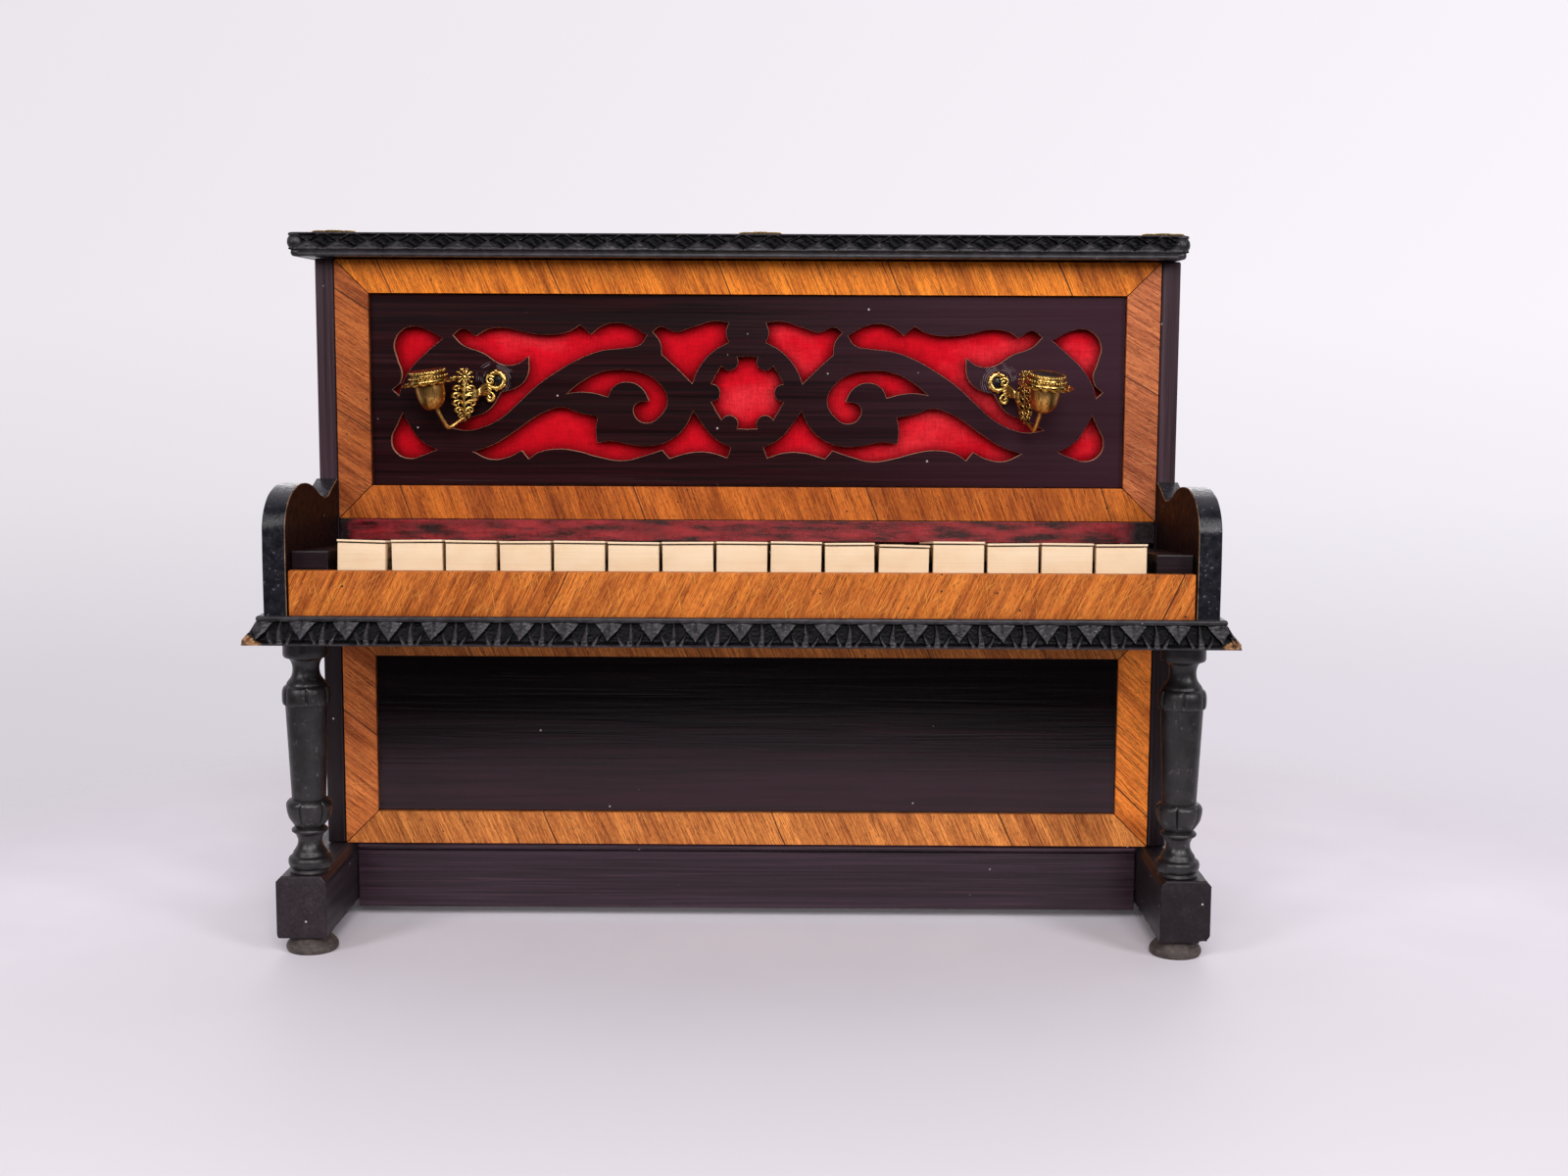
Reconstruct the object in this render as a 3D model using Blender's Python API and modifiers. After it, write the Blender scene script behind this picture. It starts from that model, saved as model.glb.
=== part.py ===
"""Miniature upright (cottage) piano with a carved lid, fretted front, turned legs and fifteen playing keys.

Metres, +Z up, the keyboard faces -Y. The origin is on the floor, under the centre of the whole piano.
Each sub-part is one named object. Moving pieces have their origins on their joint's axis.
"""
import math

import bmesh
import bpy
from mathutils import Matrix, Vector

# Driving dimensions, in metres.
GAP = 0.0003                    # clearance left between neighbouring pieces

CASE_OUTER_X = 0.1712           # outer faces of the case sides
BOARD_THICKNESS = 0.0072        # case sides
CASE_FRONT_Y = 0.0030           # front plane of the two veneered frames
CASE_BACK_Y = 0.0858
CASE_TOP_Z = 0.2677
LID_THICKNESS = 0.0095
LID_BAND_THICKNESS = 0.0026     # plain band under the carved edge of the lid
LID_HALF_LENGTH = 0.1760
LID_CENTRE_X = -0.0034          # the lid is hung off centre, further over the left side
LID_FRONT_Y = -0.0099
ORNAMENT_X = (-0.1626, 0.0051, 0.1631)

FRAME_DEPTH = 0.0060            # front to back of the veneered frames
RAIL_WIDTH = 0.0132
UPPER_FRAME_Z = (0.1647, 0.2674)
LOWER_FRAME_Z = (0.0315, 0.1222)
PANEL_SETBACK = 0.0022          # panels lie this far behind the face of their frames
PANEL_THICKNESS = 0.0025
CLOTH_THICKNESS = 0.0008
CLOTH_LAP = 0.0050              # the cloth is glued this far onto the backs of the frame's rails

ARM_THICKNESS = 0.0084
ARM_FRONT_Y = -0.0805
ARM_BOTTOM_Z = 0.1265
KEYBED_Z = (0.1265, 0.1356)
KEYBED_BACK_Y = 0.0640
MOULDING_REACH = 0.0068         # how far the carved moulding flares out beyond the arms
SLIP_Z = (0.1359, 0.1526)
SLIP_Y = (-0.0800, -0.0760)

KEY_COUNT = 15
KEY_PITCH = 0.01965
KEY_WIDTH = 0.0187
KEY_REST_TILT = math.radians(-5.7)      # at rest the fronts stand high
PIVOT_Y = 0.0200
PIVOT_Z = 0.1500
PIN_RADIUS = 0.0008
PIN_HOLE_RADIUS = 0.0011

FOOT_RAIL_X = (0.1600, 0.1794)
FOOT_RAIL_FRONT_Y = -0.0490
FOOT_RAIL_Z = (0.0067, 0.0312)
LEG_X = 0.1679
LEG_Y = -0.0395
REAR_FOOT_Y = 0.0740

SCONCE_X = 0.1078               # swivel pins
SCONCE_Z = 0.2150
SCONCE_PIVOT_Y = -0.0033
SCONCE_NECK = 0.0072            # the rose on the panel stands this far inside the swivel pin
ROSE_Z = 0.2200
SCONCE_REACH = 0.0170           # swivel pin to the centre of the candle cup
SCONCE_DIRECTIONS = {"left": math.radians(210), "right": math.radians(-65)}
KNUCKLE_RADIUS = 0.0018
KNUCKLE_HALF = 0.0016

CASE_INNER_X = CASE_OUTER_X - BOARD_THICKNESS
ARM_OUTER_X = CASE_INNER_X + ARM_THICKNESS
FRAME_OUTER_X = CASE_INNER_X - 0.0004
PANEL_OUTER_X = FRAME_OUTER_X - RAIL_WIDTH - GAP
PANEL_FRONT_Y = CASE_FRONT_Y + PANEL_SETBACK
SIDES = (("left", -1), ("right", 1))


# Materials

PALETTE = {
    "ebonised": ((0.012, 0.012, 0.013), 0.35, 0.0),
    "dark_wood": ((0.020, 0.008, 0.010), 0.40, 0.0),
    "tulipwood": ((0.48, 0.16, 0.035), 0.35, 0.0),
    "ivory": ((0.80, 0.68, 0.46), 0.40, 0.0),
    "brass": ((0.62, 0.40, 0.12), 0.30, 1.0),
    "steel": ((0.45, 0.46, 0.48), 0.35, 1.0),
    "crimson_cloth": ((0.45, 0.010, 0.020), 0.90, 0.0),
    "crimson_leather": ((0.18, 0.010, 0.018), 0.35, 0.0),
    "plain_wood": ((0.42, 0.27, 0.13), 0.60, 0.0),
    "foot_grey": ((0.10, 0.085, 0.065), 0.60, 0.0),
}


def make_materials():
    materials = {}
    for name, (colour, roughness, metallic) in PALETTE.items():
        material = bpy.data.materials.new(name)
        material.use_nodes = True
        shader = material.node_tree.nodes["Principled BSDF"]
        shader.inputs["Base Color"].default_value = (*colour, 1.0)
        shader.inputs["Roughness"].default_value = roughness
        shader.inputs["Metallic"].default_value = metallic
        materials[name] = material
    return materials


# Modelling helpers

def clear_scene():
    for item in list(bpy.data.objects):
        bpy.data.objects.remove(item, do_unlink=True)


def new_collection(name):
    collection = bpy.data.collections.new(name)
    bpy.context.scene.collection.children.link(collection)
    return collection


def place(name, data, material, location=(0, 0, 0), rotation=(0, 0, 0)):
    """Put a mesh or curve in the piano's collection as one named piece."""
    piece = bpy.data.objects.new(name, data)
    piece.location = location
    piece.rotation_euler = rotation
    if material and not data.materials:
        data.materials.append(MATERIALS[material])
    PIANO.objects.link(piece)
    return piece


def mesh_from(bm, name):
    bmesh.ops.recalc_face_normals(bm, faces=bm.faces)
    mesh = bpy.data.meshes.new(name)
    bm.to_mesh(mesh)
    bm.free()
    return mesh


def add_box(bm, low, high):
    size = Vector(high) - Vector(low)
    centre = (Vector(high) + Vector(low)) / 2
    matrix = Matrix.Translation(centre) @ Matrix.Diagonal((*size, 1.0))
    bmesh.ops.create_cube(bm, size=1.0, matrix=matrix)


def box_mesh(name, *boxes):
    bm = bmesh.new()
    for low, high in boxes:
        add_box(bm, low, high)
    return mesh_from(bm, name)


def box(name, material, low, high, bevel=0.0):
    """A board between two opposite corners, with its edges eased by a bevel."""
    piece = place(name, box_mesh(name, (low, high)), material)
    if bevel:
        ease_edges(piece, bevel)
    return piece


def ease_edges(piece, width):
    modifier = piece.modifiers.new("Eased edges", "BEVEL")
    modifier.width = width
    modifier.segments = 1
    modifier.limit_method = "ANGLE"
    modifier.angle_limit = math.radians(40)


def prism_mesh(name, outline, axis, start, end, cuts=()):
    """Extrude an outline along X, Y or Z, then trim it with planes given as (point, outward normal)."""
    to_world = {
        "X": lambda u, v, w: (w, u, v),
        "Y": lambda u, v, w: (u, w, v),
        "Z": lambda u, v, w: (u, v, w),
    }[axis]
    bm = bmesh.new()
    first = bm.faces.new([bm.verts.new(to_world(u, v, start)) for u, v in outline])
    extruded = bmesh.ops.extrude_face_region(bm, geom=[first])["geom"]
    shift = Vector(to_world(0, 0, end)) - Vector(to_world(0, 0, start))
    moved = [item for item in extruded if isinstance(item, bmesh.types.BMVert)]
    bmesh.ops.translate(bm, verts=moved, vec=shift)
    for point, normal in cuts:
        everything = bm.verts[:] + bm.edges[:] + bm.faces[:]
        result = bmesh.ops.bisect_plane(
            bm, geom=everything, dist=1e-7, plane_co=point, plane_no=normal, clear_outer=True)
        rim = [item for item in result["geom_cut"] if isinstance(item, bmesh.types.BMEdge)]
        bmesh.ops.edgeloop_fill(bm, edges=rim)
    return mesh_from(bm, name)


def turned_mesh(name, profile, segments):
    """Turn a profile of (radius, height) points, top to bottom down its outer side, about Z."""
    bm = bmesh.new()
    rim = [bm.verts.new((radius, 0, height)) for radius, height in profile]
    for upper, lower in zip(rim, rim[1:]):
        bm.edges.new((upper, lower))
    mesh = bpy.data.meshes.new(name + "_profile")
    bm.to_mesh(mesh)
    bm.free()
    guide = bpy.data.objects.new(name + "_profile", mesh)
    CUTTERS.objects.link(guide)
    screw = guide.modifiers.new("Turned", "SCREW")
    screw.steps = screw.render_steps = segments
    screw.use_merge_vertices = True
    screw.merge_threshold = 1e-5
    return baked_mesh(guide, name)


def baked_mesh(guide, name):
    """The guide's evaluated mesh, welded, in world axes. The guide is removed."""
    bpy.context.view_layer.update()
    evaluated = guide.evaluated_get(bpy.context.evaluated_depsgraph_get())
    mesh = bpy.data.meshes.new_from_object(evaluated)
    mesh.transform(guide.matrix_world)
    mesh.name = name
    bpy.data.objects.remove(guide, do_unlink=True)
    bm = bmesh.new()
    bm.from_mesh(mesh)
    bmesh.ops.remove_doubles(bm, verts=bm.verts, dist=1e-6)
    bmesh.ops.recalc_face_normals(bm, faces=bm.faces)
    bm.to_mesh(mesh)
    bm.free()
    return mesh


def rod_mesh(name, radius, low, high, axis, segments=12):
    """A round rod between two points of the same axis, X, Y or Z."""
    turn = {"X": Matrix.Rotation(math.pi / 2, 4, "Y"), "Y": Matrix.Rotation(math.pi / 2, 4, "X"),
            "Z": Matrix.Identity(4)}[axis]
    centre = (Vector(low) + Vector(high)) / 2
    length = (Vector(high) - Vector(low)).length
    bm = bmesh.new()
    bmesh.ops.create_cone(bm, cap_ends=True, segments=segments, radius1=radius, radius2=radius,
                          depth=length, matrix=Matrix.Translation(centre) @ turn)
    return mesh_from(bm, name)


def tube_mesh(name, points, radii, resolution=2):
    """A tapered tube through a short list of points, as a closed mesh."""
    curve = bpy.data.curves.new(name, "CURVE")
    curve.dimensions = "3D"
    curve.bevel_depth = 1.0
    curve.bevel_resolution = resolution
    curve.use_fill_caps = True
    curve.resolution_u = 3
    spline = curve.splines.new("BEZIER")
    spline.bezier_points.add(len(points) - 1)
    for knot, point, radius in zip(spline.bezier_points, points, radii):
        knot.co = point
        knot.radius = radius
        knot.handle_left_type = knot.handle_right_type = "AUTO"
    guide = bpy.data.objects.new(name, curve)
    CUTTERS.objects.link(guide)
    return baked_mesh(guide, name)


def combined_mesh(name, base, steps):
    """Join meshes to, or cut them from, a base mesh. Steps are (operation, mesh)."""
    guide = bpy.data.objects.new(name, base)
    CUTTERS.objects.link(guide)
    tools = []
    for operation, mesh in steps:
        tool = bpy.data.objects.new(mesh.name + "_tool", mesh)
        tool.hide_render = True
        tool.display_type = "WIRE"
        CUTTERS.objects.link(tool)
        modifier = guide.modifiers.new(operation.title(), "BOOLEAN")
        modifier.operation = operation
        modifier.object = tool
        tools.append(tool)
    result = baked_mesh(guide, name)
    result.materials.clear()
    for tool in tools:
        bpy.data.objects.remove(tool, do_unlink=True)
    return result


CORNER = "corner"


def add_outline(curve, points):
    """Add a closed Bezier outline: smooth through plain points, sharp at those marked CORNER."""
    spline = curve.splines.new("BEZIER")
    spline.bezier_points.add(len(points) - 1)
    spline.use_cyclic_u = True
    for knot, point in zip(spline.bezier_points, points):
        knot.co = (point[0], point[1], 0)
        kind = "VECTOR" if CORNER in point else "AUTO"
        knot.handle_left_type = knot.handle_right_type = kind


def flat_curve(name, outlines, thickness, resolution):
    curve = bpy.data.curves.new(name, "CURVE")
    curve.dimensions = "2D"
    curve.fill_mode = "BOTH"
    curve.extrude = thickness / 2
    curve.resolution_u = resolution
    for points in outlines:
        add_outline(curve, points)
    return curve


def shade_round(piece):
    piece.data.shade_smooth()
    piece.data.set_sharp_from_angle(angle=math.radians(35))


# Case

def make_case():
    side_bottom = FOOT_RAIL_Z[1] + GAP
    for side, sign in SIDES:
        inner, outer = sorted((sign * CASE_INNER_X, sign * CASE_OUTER_X))
        box(f"{side}_side", "dark_wood", (inner, CASE_FRONT_Y, side_bottom),
            (outer, CASE_BACK_Y, CASE_TOP_Z), bevel=0.0005)
    box("back_board", "plain_wood", (-FRAME_OUTER_X, CASE_BACK_Y - 0.003, side_bottom),
        (FRAME_OUTER_X, CASE_BACK_Y, CASE_TOP_Z))
    batten_bottom = LOWER_FRAME_Z[1] + GAP
    box("keybed_batten", "dark_wood", (-FRAME_OUTER_X, CASE_FRONT_Y, batten_bottom),
        (FRAME_OUTER_X, CASE_FRONT_Y + FRAME_DEPTH, KEYBED_Z[0] - GAP))
    bead_bottom = LOWER_FRAME_Z[0] - 0.0030
    plinth_x = FOOT_RAIL_X[0] - GAP
    box("plinth", "dark_wood", (-plinth_x, CASE_FRONT_Y + 0.0022, 0.0040),
        (plinth_x, CASE_FRONT_Y + 0.0090, bead_bottom - GAP), bevel=0.0004)
    box("plinth_bead", "dark_wood", (-plinth_x, CASE_FRONT_Y + 0.0002, bead_bottom),
        (plinth_x, CASE_FRONT_Y + 0.0090, LOWER_FRAME_Z[0] - GAP), bevel=0.0010)


def make_lid():
    """The lid and its edge moulding, with three small carved ornaments near its front edge."""
    bottom = CASE_TOP_Z + GAP
    band_top = bottom + LID_BAND_THICKNESS
    top = bottom + LID_THICKNESS - GAP
    hinge_y = CASE_BACK_Y + 0.0015
    origin = Vector((0, hinge_y, bottom))
    inset = 0.0017
    left, right = LID_CENTRE_X - LID_HALF_LENGTH, LID_CENTRE_X + LID_HALF_LENGTH
    upper = box_mesh("lid", ((left, LID_FRONT_Y, band_top), (right, CASE_BACK_Y, top)))
    band_low = (left + inset, LID_FRONT_Y + inset, bottom)
    band_high = (right - inset, CASE_BACK_Y - 0.0002, band_top + 0.001)
    steps = [("UNION", box_mesh("lid_band", (band_low, band_high)))]
    for x in ORNAMENT_X:
        bumps = [(x - 0.0055, 0.0030), (x, 0.0042), (x + 0.0055, 0.0030)]
        for index, (bump_x, radius) in enumerate(bumps):
            bm = bmesh.new()
            bmesh.ops.create_uvsphere(
                bm, u_segments=10, v_segments=6, radius=radius,
                matrix=Matrix.Translation((bump_x, 0.0, top)) @ Matrix.Diagonal((1, 1, 0.5, 1)))
            steps.append(("UNION", mesh_from(bm, f"ornament_{index}")))
    mesh = combined_mesh("lid", upper, steps)
    mesh.transform(Matrix.Translation(-origin))
    place("lid", mesh, "ebonised", location=origin)


def make_lid_hinge():
    """A continuous hinge on the case back: its leaf and its barrel."""
    half = 0.1500
    barrel_y = CASE_BACK_Y + 0.0015
    barrel_z = CASE_TOP_Z + GAP
    barrel = rod_mesh("barrel", 0.0012, (-half, barrel_y, barrel_z), (half, barrel_y, barrel_z), "X")
    leaf = box_mesh("leaf", ((-half, CASE_BACK_Y + GAP, barrel_z - 0.0100),
                             (half, CASE_BACK_Y + 0.0009, barrel_z)))
    place("lid_hinge", combined_mesh("lid_hinge", leaf, [("UNION", barrel)]), "brass")


def make_frame(prefix, low_z, high_z):
    """Four veneered rails, mitred at the corners, in the front plane of the case."""
    front, back = CASE_FRONT_Y, CASE_FRONT_Y + FRAME_DEPTH
    outer, inner = FRAME_OUTER_X, FRAME_OUTER_X - RAIL_WIDTH
    joint = GAP / 2 * math.sqrt(2)      # half the gap, along a mitre's outer edge
    for edge, outer_z, inner_z in (("bottom", low_z, low_z + RAIL_WIDTH),
                                   ("top", high_z, high_z - RAIL_WIDTH)):
        outline = [(-outer + joint, outer_z), (outer - joint, outer_z),
                   (inner - joint, inner_z), (-inner + joint, inner_z)]
        place(f"{prefix}_{edge}_rail", prism_mesh("rail", outline, "Y", front, back), "tulipwood")
    for side, sign in SIDES:
        outline = [(sign * outer, low_z + joint), (sign * outer, high_z - joint),
                   (sign * inner, high_z - RAIL_WIDTH - joint), (sign * inner, low_z + RAIL_WIDTH + joint)]
        place(f"{prefix}_{side}_stile", prism_mesh("stile", outline, "Y", front, back), "tulipwood")


def make_lower_panel():
    margin = RAIL_WIDTH + GAP
    box("lower_panel", "dark_wood",
        (-PANEL_OUTER_X, PANEL_FRONT_Y, LOWER_FRAME_Z[0] + margin),
        (PANEL_OUTER_X, PANEL_FRONT_Y + PANEL_THICKNESS, LOWER_FRAME_Z[1] - margin))


# Fretwork: the left half's openings in millimetres from the panel's centre

SCROLL_OPENINGS = [
    [   # pear shape in the upper corner
        (-121.2, 20.1, CORNER), (-127.5, 23.4), (-132.5, 24.7), (-137.6, 23.2), (-140.8, 17.9),
        (-139.6, 11.6), (-137.9, 5.7), (-138.7, 2.2, CORNER), (-141.9, -0.4, CORNER),
        (-139.2, -2.9, CORNER), (-137.4, 2.8), (-133.7, 8.7), (-128.1, 14.2)],
    [   # pear shape in the lower corner
        (-137.8, -9.5, CORNER), (-140.1, -14.1), (-142.6, -20.1), (-141.1, -25.2), (-135.6, -27.9),
        (-129.6, -26.4), (-124.3, -24.3, CORNER), (-130.8, -20.5), (-135.4, -14.1)],
    [   # above the long S-shaped stem
        (-117.4, 21.4, CORNER), (-113.3, 23.9), (-108.1, 21.0, CORNER), (-103.8, 23.5), (-96.6, 24.3),
        (-88.6, 22.6), (-79.4, 21.7), (-71.4, 22.9), (-66.5, 25.6, CORNER), (-62.3, 21.8, CORNER),
        (-58.3, 24.9), (-52.4, 26.5), (-46.5, 25.3), (-39.9, 21.7, CORNER), (-42.7, 17.9),
        (-49.5, 16.4), (-57.9, 15.4), (-66.4, 12.4), (-74.9, 7.7), (-83.5, 1.8), (-91.0, -5.0),
        (-98.3, -11.4), (-106.0, -15.3), (-112.4, -16.6), (-118.8, -15.5, CORNER), (-111.5, -11.7),
        (-103.4, -8.3), (-98.4, -1.3, CORNER), (-91.8, 0.9), (-87.9, 5.1), (-87.2, 13.1, CORNER),
        (-91.7, 10.0), (-97.6, 9.7), (-105.6, 14.3), (-113.8, 17.6)],
    [   # inside the curl of the stem
        (-72.3, -1.8, CORNER), (-66.5, 2.9), (-58.0, 7.0), (-49.5, 7.9), (-41.0, 6.4), (-34.7, 2.0),
        (-31.9, -3.9), (-34.7, -10.3), (-40.7, -13.3), (-45.3, -9.9), (-44.7, -5.9),
        (-39.2, -4.4, CORNER), (-42.3, 0.7), (-47.8, 3.0), (-53.4, 1.1), (-55.7, -3.0, CORNER),
        (-61.4, -1.5), (-67.4, -1.1)],
    [   # below the stem
        (-110.0, -25.0, CORNER), (-101.9, -22.2), (-93.3, -16.9), (-84.7, -10.9), (-81.0, -9.0),
        (-74.2, -7.1), (-67.4, -9.2), (-59.8, -10.6, CORNER), (-60.6, -15.9), (-60.1, -21.2, CORNER),
        (-53.9, -20.5), (-46.3, -22.0), (-37.7, -22.3), (-30.5, -19.8), (-25.4, -15.3),
        (-21.6, -8.3, CORNER), (-18.0, -13.6), (-12.5, -19.7), (-6.5, -22.9, CORNER),
        (-8.0, -27.1, CORNER), (-15.0, -25.0), (-22.3, -25.0), (-31.2, -27.4, CORNER),
        (-34.1, -24.1, CORNER), (-41.2, -26.4), (-49.7, -28.4), (-59.1, -27.1), (-67.6, -24.8),
        (-75.2, -23.8), (-83.8, -25.3), (-87.7, -27.9, CORNER), (-90.4, -24.5, CORNER),
        (-96.4, -27.3), (-103.2, -28.0)],
    [   # beside the top of the centre ring
        (-37.8, 23.0, CORNER), (-34.6, 25.0), (-28.7, 23.0), (-22.4, 24.7), (-13.3, 27.3),
        (-7.4, 26.7, CORNER), (-8.5, 22.7), (-7.4, 18.9, CORNER), (-13.8, 15.1), (-19.3, 8.8),
        (-22.0, 2.5, CORNER), (-27.9, 8.3), (-34.2, 14.0, CORNER), (-34.8, 18.8)],
]
ROSETTE_CENTRE = (0.0, -1.1)
ROSETTE_RADIUS = 14.5
ROSETTE_CUSPS = 6
CUSP_RADIUS = 3.6
MILLIMETRE = 0.001


def rosette_outline():
    """A round opening with six half-round cusps standing into it."""
    half_angle = math.asin(CUSP_RADIUS / ROSETTE_RADIUS)
    points = []
    for cusp in range(ROSETTE_CUSPS):
        middle = 2 * math.pi * cusp / ROSETTE_CUSPS
        base_x, base_y = ROSETTE_RADIUS * math.cos(middle), ROSETTE_RADIUS * math.sin(middle)
        for step in range(5):
            turn = middle - math.pi / 2 - math.pi * step / 4
            ends = (CORNER,) if step in (0, 4) else ()
            spot_x = base_x + CUSP_RADIUS * math.cos(turn)
            spot_y = base_y + CUSP_RADIUS * math.sin(turn)
            points.append((spot_x, spot_y, *ends))
        free_arc = 2 * math.pi / ROSETTE_CUSPS - 2 * half_angle
        for step in (1, 2, 3):
            turn = middle + half_angle + free_arc * step / 4
            points.append((ROSETTE_RADIUS * math.cos(turn), ROSETTE_RADIUS * math.sin(turn)))
    centre_x, centre_y = ROSETTE_CENTRE
    return [(x + centre_x, y + centre_y, *ends) for x, y, *ends in points]


def scaled(points, mirror=1):
    return [(mirror * x * MILLIMETRE, y * MILLIMETRE, *ends) for x, y, *ends in points]


def make_fret_panel():
    low, high = (UPPER_FRAME_Z[0] + RAIL_WIDTH + GAP, UPPER_FRAME_Z[1] - RAIL_WIDTH - GAP)
    centre_z = 0.2165
    corners = [(-PANEL_OUTER_X, low), (PANEL_OUTER_X, low), (PANEL_OUTER_X, high), (-PANEL_OUTER_X, high)]
    outlines = [[(x, z - centre_z, CORNER) for x, z in corners], scaled(rosette_outline())]
    for points in SCROLL_OPENINGS:
        outlines.append(scaled(points))
        outlines.append(scaled(points, mirror=-1))
    panel = flat_curve("fret_panel", outlines, PANEL_THICKNESS, resolution=3)
    place("fret_panel", panel, "dark_wood",
          location=(0, PANEL_FRONT_Y + PANEL_THICKNESS / 2, centre_z), rotation=(math.pi / 2, 0, 0))
    cloth_front = CASE_FRONT_Y + FRAME_DEPTH + GAP
    box("fret_cloth", "crimson_cloth", (-PANEL_OUTER_X - CLOTH_LAP, cloth_front, low - CLOTH_LAP),
        (PANEL_OUTER_X + CLOTH_LAP, cloth_front + CLOTH_THICKNESS, high + CLOTH_LAP))


# Keyboard shelf, arms and carved moulding

def make_keybed():
    box("keybed", "ebonised", (-FRAME_OUTER_X, SLIP_Y[0], KEYBED_Z[0]),
        (FRAME_OUTER_X, KEYBED_BACK_Y, KEYBED_Z[1]))
    box("key_slip", "tulipwood", (-FRAME_OUTER_X, SLIP_Y[0], SLIP_Z[0]),
        (FRAME_OUTER_X, SLIP_Y[1], SLIP_Z[1]), bevel=0.0003)
    top_front, top_back = 0.1592, 0.1540
    outline = [(-0.0740, SLIP_Z[0]), (CASE_FRONT_Y - GAP, SLIP_Z[0]),
               (CASE_FRONT_Y - GAP, top_back), (-0.0740, top_front)]
    for side, sign in SIDES:
        inner, outer = sorted((sign * 0.1504, sign * FRAME_OUTER_X))
        place(f"{side}_key_block", prism_mesh("key_block", outline, "X", inner, outer), "dark_wood")
    strip_y = CASE_FRONT_Y + 0.0005
    box("name_strip", "crimson_leather", (-FRAME_OUTER_X, strip_y, 0.1560),
        (FRAME_OUTER_X, strip_y + 0.0025, UPPER_FRAME_Z[0] - GAP))


def make_arms():
    """Cheek boards with a rounded nose, a dip, and a rise to the case side."""
    back_y = CASE_FRONT_Y - GAP
    outline = [
        (ARM_FRONT_Y, ARM_BOTTOM_Z, CORNER), (back_y, ARM_BOTTOM_Z, CORNER), (back_y, 0.1805, CORNER),
        (-0.0060, 0.1778), (-0.0150, 0.1748), (-0.0260, 0.1764), (-0.0370, 0.1803), (-0.0500, 0.1822),
        (-0.0640, 0.1812), (-0.0750, 0.1766), (-0.0800, 0.1700), (ARM_FRONT_Y, 0.1640)]
    for side, sign in SIDES:
        arm = flat_curve(f"{side}_arm", [outline], ARM_THICKNESS, resolution=4)
        centre_x = sign * (CASE_INNER_X + ARM_OUTER_X) / 2
        place(f"{side}_arm", arm, "ebonised", location=(centre_x, 0, 0),
              rotation=(math.pi / 2, 0, math.pi / 2))


def make_moulding():
    """A carved edge round the keybed: a fillet over a face that flares outwards, mitred at the corners."""
    low, high = 0.1263, 0.1364
    flare = [(GAP, low), (MOULDING_REACH, low), (MOULDING_REACH, low + 0.0013),
             (0.0022, high - 0.0022), (0.0018, high - 0.0020), (0.0018, high), (GAP, high)]
    gap = GAP / 2
    front = [(ARM_FRONT_Y - out, z) for out, z in flare]
    length = ARM_OUTER_X + MOULDING_REACH + 0.01
    cuts = [((sign * ARM_OUTER_X, ARM_FRONT_Y - gap, 0), (sign, 1, 0)) for _, sign in SIDES]
    place("moulding_front", prism_mesh("moulding_front", front, "X", -length, length, cuts), "ebonised")
    for side, sign in SIDES:
        outline = [(sign * (ARM_OUTER_X + out), z) for out, z in flare]
        cut = ((sign * ARM_OUTER_X, ARM_FRONT_Y + gap, 0), (-sign, -1, 0))
        mesh = prism_mesh("moulding_side", outline, "Y", ARM_FRONT_Y - 0.02, CASE_FRONT_Y - GAP, [cut])
        place(f"moulding_{side}", mesh, "ebonised")


# Legs and feet

LEG_PROFILE = [
    (0.0, 126.2), (8.6, 126.2), (8.6, 113.9), (8.2, 113.3), (5.6, 112.9), (5.1, 110.6), (5.6, 107.6),
    (7.3, 104.9), (7.6, 104.2), (9.0, 103.2), (9.6, 101.2), (9.6, 97.6), (9.1, 96.9), (8.3, 96.6),
    (6.5, 59.6), (7.6, 59.2), (8.9, 57.6), (9.1, 55.6), (8.3, 51.8), (5.9, 49.2), (5.6, 48.6),
    (6.9, 47.6), (6.9, 46.6), (5.4, 45.9), (4.6, 43.6), (5.0, 41.2), (6.4, 39.2), (6.9, 37.9),
    (8.1, 36.9), (8.4, 35.2), (7.9, 33.4), (7.0, 32.6), (7.7, 31.5), (0.0, 31.5)]
FOOT_PROFILE = [
    (0.0, 6.4), (7.0, 6.4), (7.6, 5.4), (9.4, 3.4), (10.0, 2.0), (9.8, 0.8), (9.2, 0.0), (0.0, 0.0)]


def millimetre_profile(profile):
    return [(radius * MILLIMETRE, height * MILLIMETRE) for radius, height in profile]


def make_legs_and_feet():
    leg_mesh = turned_mesh("leg", millimetre_profile(LEG_PROFILE), segments=20)
    foot_mesh = turned_mesh("foot", millimetre_profile(FOOT_PROFILE), segments=16)
    chamfer = 0.0022
    (inner, outer), (low, high) = FOOT_RAIL_X, FOOT_RAIL_Z
    for side, sign in SIDES:
        outline = [(sign * x, z) for x, z in (
            (inner, low), (outer, low), (outer, high - chamfer), (outer - chamfer, high),
            (inner + chamfer, high), (inner, high - chamfer))]
        rail = prism_mesh("foot_rail", outline, "Y", FOOT_RAIL_FRONT_Y, CASE_BACK_Y)
        ease_edges(place(f"{side}_foot_rail", rail, "dark_wood"), 0.0004)
        shade_round(place(f"{side}_leg", leg_mesh, "ebonised", location=(sign * LEG_X, LEG_Y, 0)))
        for end, y in (("front", LEG_Y), ("rear", REAR_FOOT_Y)):
            foot = place(f"{side}_{end}_foot", foot_mesh, "foot_grey", location=(sign * LEG_X, y, 0))
            shade_round(foot)


# Candle sconces: the cup's radius, and height from the swivel's height, from the socket's floor round to the tip

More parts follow.
